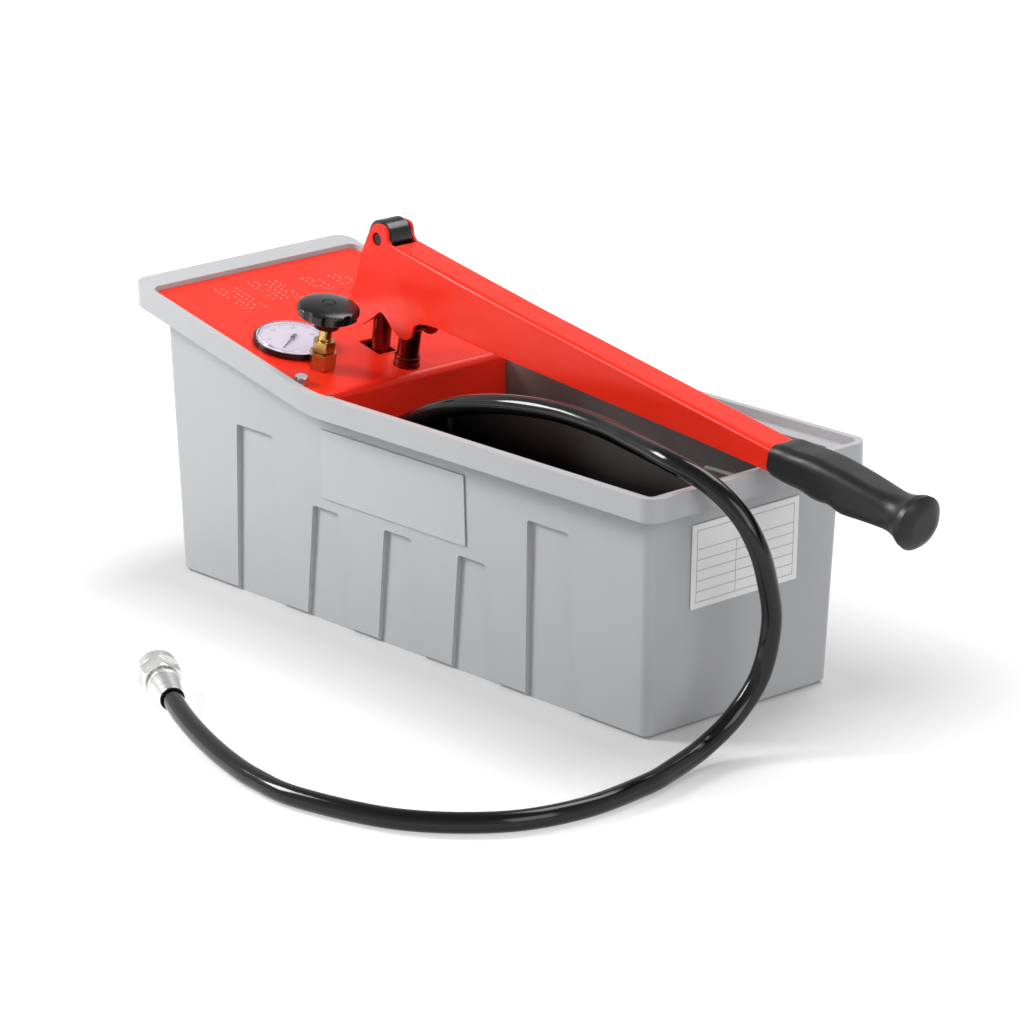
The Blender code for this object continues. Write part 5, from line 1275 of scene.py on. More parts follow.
@dataclass
class HoseEnd:
    """Crimped ferrule, tail and swivel nut on the hose's free end."""

    origin: Triple = (-0.0144, -0.2593, 0.0130)
    toward: Triple = (-0.0623, -0.2370, 0.0167)
    socket: float = 0.014
    inner: float = HOSE_RADIUS + GAP
    sleeve_radius: float = 0.0080
    sleeve_length: float = 0.0012
    ferrule_length: float = 0.0205
    ferrule_wide: float = 0.0104
    collar_end: float = 0.0230
    collar_radius: float = 0.0112
    tail_radius: float = 0.008
    flange: Triple = (0.0330, 0.0355, 0.0103)
    tail_bore: float = 0.003
    nut_start: float = 0.0262
    nut_hex_end: float = 0.0385
    nut_end: float = 0.0486
    nut_flats: float = 0.0238
    nut_round: float = 0.0142
    nut_bore: float = 0.0108
    chamfer: float = 0.0016
    edge: float = 0.0005

    def sleeve(self) -> Piece:
        """Turn the rubber ring behind the ferrule.

        Returns:
            The ring about the fitting's axis.
        """
        back = -self.socket - GAP
        radii = (self.inner, self.sleeve_radius)
        return round_edges(tube("end_rubber_ring", radii, back - self.sleeve_length, back), self.edge)

    def ferrule(self) -> Piece:
        """Turn the ferrule, widening toward the collar.

        Returns:
            The ferrule about the fitting's axis.
        """
        back, end = -self.socket, self.ferrule_length - self.socket - GAP
        inner = self.inner
        profile = [(inner, back), (self.sleeve_radius, back), (self.ferrule_wide, end), (inner, end)]
        return round_edges(turned("end_crimp_ferrule", profile, 64, True), 0.5 * self.edge, 2, 20.0)

    def tail(self) -> Piece:
        """Turn the collar and tail that the nut swivels on.

        Returns:
            The tail about the fitting's axis.
        """
        back = -self.socket
        start, low, high, wide = self.ferrule_length, *self.flange
        profile = [
            (self.tail_bore, start), (self.collar_radius, start), (self.collar_radius, self.collar_end),
            (self.tail_radius, self.collar_end), (self.tail_radius, low), (wide, low), (wide, high),
            (self.tail_bore, high)]
        piece = turned("end_collar_tail", [(radius, height + back) for radius, height in profile], 64, True)
        return round_edges(piece, self.edge)

    def nut(self) -> Piece:
        """Cut the swivel nut from a hexagon bar, with a round knurled front.

        Returns:
            The nut about the fitting's axis.
        """
        back = -self.socket
        start, hex_end, end = (height + back for height in (self.nut_start, self.nut_hex_end, self.nut_end))
        nut = prism("hose_swivel_nut", 6, self.nut_flats, start, hex_end + CUT)
        crest, chamfer = over_corners(self.nut_flats), self.chamfer
        cut(nut, turned("nut_chamfer", [
            (0.0, start), (crest - chamfer, start), (crest + chamfer, start + chamfer),
            (crest + chamfer, end), (0.0, end)]), Cut.INTERSECT)
        cut(nut, turned("nut_front", [
            (0.0, hex_end), (self.nut_round, hex_end), (self.nut_round, end - chamfer),
            (self.nut_round - chamfer, end), (0.0, end)], 72), Cut.UNION)
        bore = self.tail_radius + GAP
        floor = self.flange[0] + back - GAP
        cut(nut, turned("nut_bore", [
            (0.0, start - CUT), (bore, start - CUT), (bore, floor), (self.nut_bore, floor),
            (self.nut_bore, end + CUT), (0.0, end + CUT)]))
        return round_edges(tidy_flats(nut), self.edge, 2, 28.0)

    def build(self) -> list[str]:
        """Make and place the four pieces.

        Returns:
            The names of the pieces that belong to the hose.
        """
        way = (Vector(self.toward) - Vector(self.origin)).normalized()
        place = aimed(self.origin, Vector(self.origin) + way)
        made = ((self.sleeve(), GRIP_RUBBER, "base", Slot.RUBBER, "end_sleeve"),
                (self.ferrule(), PLATED_STEEL, "base", Slot.PLATED, "end_ferrule"),
                (self.tail(), PLATED_STEEL, "base", Slot.PLATED, "end_tail"),
                (self.nut(), PLATED_STEEL, "swivel_nut", Slot.PLATED, "swivel_nut"))
        for piece, finish, body, slot, node in made:
            show(finish.dress(smooth(settle(piece, place)), place), body, slot, node)
        return [piece.name for piece, *_ in made] + ["face_washer"]


# Cover


@dataclass
class Cover:
    """Bent sheet-steel cover over the pump end, with its screws."""

    drop_half_width: float = 0.0886
    flange_x: float = -0.0675
    flange_half: float = 0.0755
    flange_bottom: float = 0.132
    ledge_clear: float = 0.001
    front_corner: float = 0.009
    bend: float = 0.0055
    bend_steps: int = 10
    pump_end_rim: float = PUMP_END_RIM
    corner: float = 0.008
    screw_along: float = -0.0183
    screw_across: float = 0.084
    screw_radius: float = 0.0025
    screw_flats: float = 0.008
    screw_height: float = 0.0036
    screw_length: float = 0.0145
    screw_chamfer: float = 0.0006
    screw_edge: float = 0.0002
    screw_turn: float = math.radians(20.0)
    washer_radius: float = 0.0046
    washer: float = 0.0009
    gland: Pair = (-0.0095, 0.0091)
    slot: Triple = (-0.0520, -0.0295, 0.0074)
    valve: Triple = (-0.0317, -0.0557, 0.0068)
    gauge: Triple = (-0.0687, -0.0520, 0.0231)
    edge: float = 0.0005
    mark: Triple = (0.0027, 0.0007, 0.0003)
    mark_step: Pair = (0.0047, 0.0050)
    mark_blocks: tuple[tuple[float, float, int, int], ...] = (
        (-0.1610, -0.0465, 8, 4), (-0.1600, -0.0185, 7, 5), (-0.1500, 0.0210, 5, 3), (-0.1455, 0.0415, 4, 3))

    def sheet(self) -> Piece:
        """Bend the sheet from its section and cut its openings.

        Returns:
            The cover in its place.
        """
        slant = math.cos(SLOPE)
        turn = QUARTER_TURN - SLOPE
        along = (self.flange_x - COVER_ORIGIN.x) / slant - self.bend * math.tan(0.5 * turn)
        rear_x = -0.5 * RIM_LENGTH + self.pump_end_rim + GAP + COVER_THICKNESS * math.sin(SLOPE)
        rear = (rear_x - COVER_ORIGIN.x) / slant

        def row(distance: float, up: float) -> Pair:
            """Turn a point of the sloping section into x and z."""
            spot = COVER_FRAME @ Vector((distance, 0.0, up))
            return spot.x, spot.z

        outer, inner = [], []
        for step in range(self.bend_steps + 1):
            angle = QUARTER_TURN - turn * step / self.bend_steps
            for line, radius in ((outer, self.bend), (inner, self.bend - COVER_THICKNESS)):
                line.append(row(along + radius * math.cos(angle), radius * math.sin(angle) - self.bend))
        outline = [row(rear, -COVER_THICKNESS), row(rear, 0.0), *outer, (self.flange_x, self.flange_bottom),
                   (self.flange_x - COVER_THICKNESS, self.flange_bottom), *reversed(inner)]
        sheet = plate("cover_sheet", outline, -self.drop_half_width, self.drop_half_width)
        for side in (-1.0, 1.0):
            span = sorted((side * self.flange_half, side * (self.drop_half_width + CUT)))
            cut(sheet, block("ledge_cutter", (KINK_X, span[0], 0.0),
                             (self.flange_x + CUT, span[1], RIM_LOW - LIP_DEPTH + self.ledge_clear)))
            self.bore(sheet, self.screw_along, side * self.screw_across, self.screw_radius + GAP)
        half = 0.5 * (self.flange_x + RIM_LENGTH)
        reach = (half, self.drop_half_width + GAP)
        plan = [Ring((self.flange_x - half, 0.0, height), reach, self.front_corner)
                for height in (0.0, 2.0 * RIM_HIGH)]
        cut(sheet, lofted("cover_plan", plan, 8), Cut.INTERSECT)
        with editing(sheet):
            pick(sheet, Element.EDGE, lambda e: all(v.co.x < rear_x + CUT for v in e.verts)
                 and abs(abs(e.verts[0].co.y) - self.drop_half_width) < WELD
                 and (e.verts[0].co - e.verts[1].co).length < 2.0 * COVER_THICKNESS)
            bpy.ops.mesh.bevel(offset=self.corner, segments=8, affect="EDGES")
        self.bore(sheet, self.gland[0], 0.0, self.gland[1])
        self.bore(sheet, *self.valve)
        self.bore(sheet, *self.gauge)
        link = block("slot_cutter", (self.slot[0], -self.slot[2], -CUT), (self.slot[1], self.slot[2], CUT))
        cut(sheet, settle(link, COVER_FRAME))
        return smooth(round_edges(tidy_flats(sheet), self.edge, 2, 40.0))

    def bore(self, sheet: Piece, along: float, across: float, radius: float) -> None:
        """Drill one round hole square to the cover."""
        cut(sheet, settle(bar("drill", radius, -CUT, CUT, 56), on_cover(along, across)))

    def screw(self, word: str, side: float) -> None:
        """Make the hexagon screw and washer at one front corner.

        Args:
            word: Which corner, as the names say it.
            side: -1 for the near side, 1 for the far side.
        """
        foot, radius = self.washer + 2.0 * GAP, self.screw_radius
        top = foot + self.screw_height
        head = prism(f"cover_hex_screw_{word}", 6, self.screw_flats, foot, top)
        crest, chamfer = over_corners(self.screw_flats), self.screw_chamfer
        cut(head, turned("screw_chamfer", [
            (0.0, foot - CUT), (crest + CUT, foot - CUT), (crest + CUT, top - chamfer - CUT * 0.5),
            (crest - chamfer, top), (0.0, top)]), Cut.INTERSECT)
        cut(head, bar("screw_shank", radius, -self.screw_length, foot + radius), Cut.UNION)
        round_edges(head, self.screw_edge, 2, 25.0)
        washer = tube(f"cover_flat_washer_{word}", (radius + GAP, self.washer_radius), GAP, GAP + self.washer)
        round_edges(washer, self.screw_edge, 2)
        place = on_cover(self.screw_along, side * self.screw_across)
        place = place @ Matrix.Rotation(self.screw_turn, 4, "Z")
        for piece, node in ((head, f"cover_screw_{word}"), (washer, f"cover_washer_{word}")):
            show(PLATED_STEEL.dress(smooth(settle(piece, place)), place), "base", Slot.PLATED, node)

    def marks(self) -> None:
        """Raise four blocks of short plain dashes on the cover, with no lettering."""
        length, width, height = self.mark
        first = block("dash", (-0.5 * length, -0.5 * width, -height), (0.5 * length, 0.5 * width, height))
        round_edges(first, 0.4 * height, 2)
        dashes = []
        for along, across, columns, rows in self.mark_blocks:
            for row in range(rows):
                for column in range(columns):
                    # A fixed pattern leaves some dashes out and turns the others
                    if (row * 3 + column * 5) % 7 == 6:
                        continue
                    turn = 0.25 * math.pi * ((row * 5 + column * 3) % 4)
                    spot = Matrix.Translation((along + self.mark_step[0] * (column + 0.3 * row),
                                               across + self.mark_step[1] * row, 0.0))
                    dashes.append(copied(first, f"dash_{len(dashes)}", spot @ Matrix.Rotation(turn, 4, "Z")))
        bpy.data.objects.remove(first, do_unlink=True)
        whole = joined(dashes, "cover_raised_dashes")
        # The dashes' pale colour is a painted highlight
        show(GLINT_PAINTED_ENAMEL.dress(smooth(settle(whole, COVER_FRAME))), "base", Slot.RED)

    def build(self) -> None:
        """Make the sheet, its marks and its screws."""
        show(RED_ENAMEL.dress(self.sheet()), "base", Slot.RED, "cover_plate")
        self.marks()
        self.screw("near", -1.0)
        self.screw("far", 1.0)


# Panels


@dataclass
class Panels:
    """Bare name panel on the long wall and ruled label on the end wall."""

    thickness: float = 0.0009
    ink: float = 0.00004
    corner: float = 0.0007
    name_size: Pair = (0.146, 0.048)
    name_at: Pair = (-0.003, 0.1123)
    label_size: Pair = (0.092, 0.056)
    label_at: Pair = (0.002, 0.1068)
    drafts: Pair = (0.0075, 0.0012)
    rise: float = 0.154
    line: float = 0.0005
    margin: float = 0.004
    rows: int = 5
    head_share: float = 0.45
    column_share: float = -0.2

    def film(self, name: str, size: Pair) -> Piece:
        """Cut a sheet with rounded corners that lies in XZ and faces -Y.

        Args:
            name: The new object's name.
            size: Width and height.

        Returns:
            The sheet about the origin.
        """
        half = (0.5 * size[0], 0.5 * size[1])
        sheet = block(name, (-half[0], -self.thickness, -half[1]), (half[0], 0.0, half[1]))
        with editing(sheet):
            pick(sheet, Element.EDGE, lambda e: abs(e.verts[0].co.y - e.verts[1].co.y) > 0.5 * self.thickness)
            bpy.ops.mesh.bevel(offset=self.corner, segments=6, affect="EDGES")
        return round_edges(sheet, 0.3 * self.thickness, 2)

    def place(self, axis: int, at: Pair) -> Matrix:
        """Place of a panel on its leaning wall.

        Args:
            axis: 0 for the end wall, 1 for the near long wall.
            at: The panel's middle: its run along the wall and its height.

        Returns:
            The matrix from the sheet's own frame to the row frame.
        """
        lean = math.atan2(self.drafts[axis], self.rise)
        face = BASE_HALF[axis] + (at[1] - BASE_ROUND) * math.tan(lean) + GAP
        if axis == 1:
            return Matrix.Translation((at[0], -face, at[1])) @ Matrix.Rotation(lean, 4, "X")
        return (Matrix.Translation((face, at[0], at[1])) @ Matrix.Rotation(lean, 4, "Y")
                @ Matrix.Rotation(QUARTER_TURN, 4, "Z"))

    def rule(self, name: str, low: Pair, high: Pair) -> Piece:
        """Lay one printed bar on the label."""
        back, front = -self.thickness - self.ink, -self.thickness + self.ink
        return block(name, (low[0], back, low[1]), (high[0], front, high[1]))

    def table(self) -> Piece:
        """Print the label's frame, its ruled rows and one column line, all without words.

        Returns:
            The printed lines about the label's middle.
        """
        wide, tall = (0.5 * size - self.margin for size in self.label_size)
        line = self.line
        bars = [((-wide, -tall), (wide, line - tall)), ((-wide, tall - line), (wide, tall)),
                ((-wide, -tall), (line - wide, tall)), ((wide - line, -tall), (wide, tall))]
        head, column = self.head_share * tall, self.column_share * wide
        for index in range(self.rows):
            height = head - (head + tall) * index / self.rows
            bars.append(((-wide, height), (wide, height + line)))
        bars.append(((column, -tall), (line + column, head)))
        made = [self.rule(f"rule_{index}", *bar) for index, bar in enumerate(bars)]
        return joined(made, "label_ruled_table")

    def build(self) -> None:
        """Make both panels and the label's printing."""
        name_panel = settle(self.film("blank_name_panel", self.name_size), self.place(1, self.name_at))
        show(VINYL_FILM.dress(smooth(name_panel)), "base", Slot.PANEL, "name_panel")
        label_place = self.place(0, self.label_at)
        label = settle(self.film("blank_end_label", self.label_size), label_place)
        show(LABEL_FILM.dress(smooth(label)), "base", Slot.PANEL, "end_label")
        show(GREY_INK.dress(settle(self.table(), label_place)), "base", Slot.PANEL)


# Lever, pump top and grip


@dataclass
class Lever:
    """Pressed channel lever with its two ears, cross bar and pivot pin."""

    half: float = 0.0120
    sheet: float = 0.0025
    bend: float = 0.0034
    edge: float = 0.0005
    pin_half: float = 0.0108
    pin_chamfer: float = 0.0007
    pin_dimple: float = 0.0011
    drill_half: float = 0.03
    web: Triple = (-0.0790, 0.2480, 0.1761)
    hollow_ends: Pair = (-0.140, 0.340)
    hollow_heights: Pair = (0.1, 0.3)
    middle: Pair = (0.2238, -0.1285)
    ears: Profile = (
        (-0.0900, 0.2607), (-0.0945, 0.2608), (-0.0995, 0.2590), (-0.1035, 0.2545), (-0.1085, 0.2454),
        (-0.1132, 0.2361), (-0.1175, 0.2223), (-0.1234, 0.2086), (-0.1252, 0.1975), (-0.1222, 0.1895),
        (-0.1154, 0.1873), (-0.1098, 0.1899), (-0.1050, 0.1926), (-0.0995, 0.1965), (-0.0953, 0.1998),
        (-0.0919, 0.1996), (-0.0880, 0.1968), (-0.0835, 0.1925), (-0.0789, 0.1885), (-0.0750, 0.1864),
        (-0.0690, 0.1856), (-0.0640, 0.1872), (-0.0615, 0.1905), (-0.0594, 0.1957), (-0.0561, 0.1985),
        (-0.0481, 0.2001), (-0.0382, 0.2002), (-0.0273, 0.1992),
    )
    arm: Profile = (
        (0.0286, 0.1934), (0.0902, 0.1880), (0.1625, 0.1815), (0.2176, 0.1766), (0.2679, 0.1713),
        (0.3250, 0.1655), (0.3250, 0.1785), (0.2744, 0.1868), (0.2085, 0.1977), (0.1627, 0.2056),
        (0.0484, 0.2252), (-0.0162, 0.2370), (-0.0784, 0.2479),
    )
    ear_top: Profile = ((-0.0817, 0.2478), (-0.0847, 0.2511), (-0.0852, 0.2566), (-0.0869, 0.2595))

    def pressing(self) -> Piece:
        """Press the channel: round its back, hollow it and drill the ears.

        Returns:
            The channel in its place.
        """
        curve = [(spot.x, spot.y) for spot in smooth_line([(x, z, 0.0) for x, z in self.ears], 96)]
        outline = [*curve, *self.arm, *self.ear_top]
        lever = plate("pressed_lever", outline, -self.half, self.half)
        base, fall = self.middle
        web_x, web_rear, web_front = self.web
        with editing(lever):
            pick(lever, Element.EDGE, lambda e: abs(e.verts[0].co.y - e.verts[1].co.y) < WELD and all(
                v.co.x > web_x - WELD and v.co.z > base + fall * (v.co.x - web_x) for v in e.verts))
            bpy.ops.mesh.bevel(offset=self.bend, segments=5, affect="EDGES")
        inner = self.half - self.sheet
        rear, front = self.hollow_ends
        low, high = self.hollow_heights
        cut(lever, plate("channel_cutter", [
            (rear, low), (front, low), (front, web_front - self.sheet), (web_x, web_rear - self.sheet),
            (web_x, high), (rear, high)], -inner, inner))
        cut(lever, cross_bar(LEVER_FULCRUM, PIVOT_RADIUS + GAP, self.drill_half, 48))
        return smooth(round_edges(tidy_flats(lever), self.edge, 2, 40.0))

    def pin(self) -> Piece:
        """Turn the pivot pin with its chamfered ends and centre marks.

        Returns:
            The pin about +Z.
        """
        chamfer, dimple = self.pin_chamfer, self.pin_dimple
        half, radius = self.pin_half, PIVOT_RADIUS
        profile = [(0.0, dimple - half), (dimple, -half), (radius - chamfer, -half), (radius, chamfer - half),
                   (radius, half - chamfer), (radius - chamfer, half), (dimple, half), (0.0, half - dimple)]
        return smooth(turned("lever_top_pin", profile, 48))

    def build(self) -> None:
        """Make the pressing and its pin."""
        show(RED_ENAMEL.dress(self.pressing()), "lever", Slot.RED, "lever")
        place = across_lever(LEVER_FULCRUM)
        show(BLACK_OXIDE.dress(settle(self.pin(), place), place), "lever", Slot.DARK_STEEL, "lever_pivot_pin")


def across_lever(at: Pair) -> Matrix:
    """Frame at an x and z in the lever's plane, whose +Z runs across it, along -Y."""
    return Matrix.Translation((at[0], 0.0, at[1])) @ Matrix.Rotation(QUARTER_TURN, 4, "X")


def cross_bar(at: Pair, radius: float, half: float, steps: int = 56) -> Piece:
    """Turn a round bar that lies across the lever's plane, as a boss or as a drill."""
    return settle(bar("cross_bar_tool", radius, -half, half, steps), across_lever(at))


@dataclass
class PumpTop:
    """What shows of the pump above the cover: gland, plunger, column and barrel."""

    pump_along: float = -0.0095
    rod_radius: float = 0.0075
    neck: Pair = (0.005, -0.060)
    spigot: Triple = (0.004, -0.095, -0.1135)
    eye_radius: float = 0.0100
    eye_half: float = 0.0060
    bar_radius: float = 0.0050
    gland: Triple = (0.0088, -0.014, 0.0075)
    gland_chamfer: float = 0.0008
    groove_depth: float = 0.0004
    groove_drops: Quad = (0.0042, 0.0038, 0.0030, 0.0026)
    link_base: Pair = (-0.1120, 0.1530)
    link_radius: float = 0.0065
    link_eye: Triple = (0.0095, 0.0060, 0.0068)
    barrel: Triple = (0.0125, 0.0092, 0.0030)
    barrel_roll: float = 0.0009
    edge: float = 0.0004

    def collar(self) -> Piece:
        """Turn the gland's collar with its chamfer and spanner groove.

        Returns:
            The collar about +Z.
        """
        radius, low, high = self.gland
        inner, chamfer = self.rod_radius + GAP, self.gland_chamfer
        waist = radius - self.groove_depth
        reaches = (radius, waist, waist, radius)
        groove = [(reach, high - drop) for reach, drop in zip(reaches, self.groove_drops)]
        profile = [(inner, low), (radius, low), *groove, (radius, high - chamfer), (radius - chamfer, high),
                   (inner, high)]
        return smooth(turned("gland_collar", profile, 56, True), 25.0)

    def plunger(self) -> Piece:
        """Turn the plunger and forge its eye on top.

        Returns:
            The plunger in its place.
        """
        pump = on_cover(self.pump_along, 0.0)
        top = (pump.inverted() @ Vector((PLUNGER_EYE[0], 0.0, PLUNGER_EYE[1]))).z
        spigot, spigot_top, spigot_bottom = self.spigot
        neck, neck_top = self.neck
        rod = turned("plunger_with_eye", [
            (0.0, spigot_bottom), (spigot, spigot_bottom), (spigot, spigot_top), (neck, spigot_top),
            (neck, neck_top), (self.rod_radius, neck_top), (self.rod_radius, top), (0.0, top)], 56)
        return self.forged(settle(rod, pump), PLUNGER_EYE, self.eye_radius, self.eye_half,
                           self.bar_radius + GAP)

    def forged(self, rod: Piece, at: Pair, radius: float, half: float, hole: float) -> Piece:
        """Forge a drilled eye on a rod, lying across the lever's plane.

        Args:
            rod: The rod in its place.
            at: The x and z of the eye's axis.
            radius: The eye's outer radius.
            half: Half its width.
            hole: Radius of its hole.

        Returns:
            The rod with its eye.
        """
        cut(rod, cross_bar(at, radius, half), Cut.UNION)
        cut(rod, cross_bar(at, hole, half + CUT))
        return smooth(round_edges(rod, self.edge, 2, 40.0))

    def socket_place(self) -> Matrix:
        """Frame at the bottom of the barrel's socket, whose +Z runs down the column.

        Returns:
            The matrix from that frame to the row frame.
        """
        top, foot = (Vector((spot[0], 0.0, spot[1])) for spot in (LEVER_FULCRUM, self.link_base))
        radius, _, socket = self.barrel
        return aimed(top + (foot - top).normalized() * (radius - socket), foot)

    def column(self) -> Piece:
        """Turn the link's column and forge its lower eye.

        Returns:
            The column in its place.
        """
        place = self.socket_place()
        foot = Vector((self.link_base[0], 0.0, self.link_base[1]))
        rod = bar("link_column", self.link_radius, GAP, (foot - place.translation).length, 56)
        radius, half, hole = self.link_eye
        return self.forged(settle(rod, place), self.link_base, radius, half, hole)

    def roller(self) -> Piece:
        """Turn the barrel between the ears and bore it for the pin and the column.

        Returns:
            The barrel in its place.
        """
        radius, half, _ = self.barrel
        roll, inner = self.barrel_roll, PIVOT_RADIUS + GAP
        barrel = turned("lever_top_barrel", [
            (inner, -half), (radius - roll, -half), (radius, roll - half), (radius, half - roll),
            (radius - roll, half), (inner, half)], 64, True)
        settle(barrel, across_lever(LEVER_FULCRUM))
        hole = bar("socket_drill", self.link_radius + GAP, 0.0, radius, 48)
        return smooth(cut(barrel, settle(hole, self.socket_place())), 40.0)

    def build(self) -> None:
        """Make the four pieces on their bodies."""
        pump = on_cover(self.pump_along, 0.0)
        # Collar, plunger and column take the steel with the painted red reflection and painted shade
        show(RED_REFLECTION_STEEL.dress(settle(self.collar(), pump), pump), "base", Slot.DARK_STEEL, "gland_nut")
        show(RED_REFLECTION_STEEL.dress(self.plunger(), pump), "plunger", Slot.PLATED, "plunger_rod")
        pin = across_lever(LEVER_FULCRUM)
        link = aimed((LEVER_FULCRUM[0], 0.0, LEVER_FULCRUM[1]), (self.link_base[0], 0.0, self.link_base[1]))
        show(BLACK_PHENOLIC.dress(self.roller(), pin), "fulcrum_link", Slot.RUBBER, "link_barrel")
        show(RED_REFLECTION_STEEL.dress(self.column(), link), "fulcrum_link", Slot.DARK_STEEL, "link_rod")


@dataclass
class Grip:
    """Rubber grip with finger swells, a flattened top and a flared end."""

    tilt: float = -0.22
    stations: int = 90
    corner_steps: int = 8
    pocket: Triple = (0.276, 0.327, 0.0123)
    roundest: float = 0.99
    lower: Quad = (0.2679, 0.1713, 0.3250, 0.1655)
    upper: Quad = (0.2744, 0.1868, 0.3250, 0.1785)
    sections: tuple[tuple[float, float, float, float, float], ...] = (
        (0.2798, 0.1783, 0.0136, 0.0096, 0.62), (0.2822, 0.1780, 0.0142, 0.0109, 0.62),
        (0.2880, 0.1773, 0.0144, 0.0116, 0.62), (0.2970, 0.1760, 0.0146, 0.0120, 0.62),
        (0.3080, 0.1752, 0.0146, 0.0126, 0.62), (0.3200, 0.1730, 0.0148, 0.0140, 0.62),
        (0.3320, 0.1718, 0.0146, 0.0132, 0.64), (0.3420, 0.1692, 0.0144, 0.0144, 0.66),
        (0.3560, 0.1674, 0.0140, 0.0132, 0.72), (0.3680, 0.1658, 0.0133, 0.0125, 0.80),
        (0.3780, 0.1644, 0.0130, 0.0126, 0.90), (0.3860, 0.1630, 0.0144, 0.0146, 0.96),
        (0.3920, 0.1618, 0.0171, 0.0173, 0.98), (0.3945, 0.1613, 0.0178, 0.0180, 0.98),
        (0.3962, 0.1609, 0.0173, 0.0175, 0.98), (0.3990, 0.1602, 0.0136, 0.0139, 0.98),
        (0.4004, 0.1599, 0.0081, 0.0083, 0.98),
    )

    def body(self) -> Piece:
        """Loft the grip through its sections and dome its end.

        Returns:
            The solid grip in its place.
        """
        turn = (0.0, -QUARTER_TURN - self.tilt, 0.0)
        rings = []
        for x, z, wide, tall, share in smooth_line(self.sections, self.stations):
            corner = min(share, self.roundest) * min(wide, tall)
            rings.append(Ring((x, 0.0, z), (tall, wide), corner, turn))
        return lofted("rubber_grip", rings, self.corner_steps)

    def hollow(self) -> Piece:
        """Shape of the lever's end, grown by the gap, that the grip is pushed over.

        Returns:
            The cutter for the lever's end.
        """
        rear, front, half = self.pocket

        def height(line: Quad, x: float) -> float:
            """Height of one edge line of the lever at x."""
            return line[1] + (line[3] - line[1]) * (x - line[0]) / (line[2] - line[0])

        grow = 2.0 * GAP
        low = [(x, height(self.lower, x) - grow) for x in (rear, front)]
        high = [(x, height(self.upper, x) + grow) for x in (front, rear)]
        return plate("grip_pocket", low + high, -half, half)

    def build(self) -> None:
        """Make the grip on the lever."""
        grip = cut(self.body(), self.hollow())
        show(GRIP_RUBBER.dress(smooth(grip, 50.0)), "lever", Slot.RUBBER, "lever_grip")


# Release valve


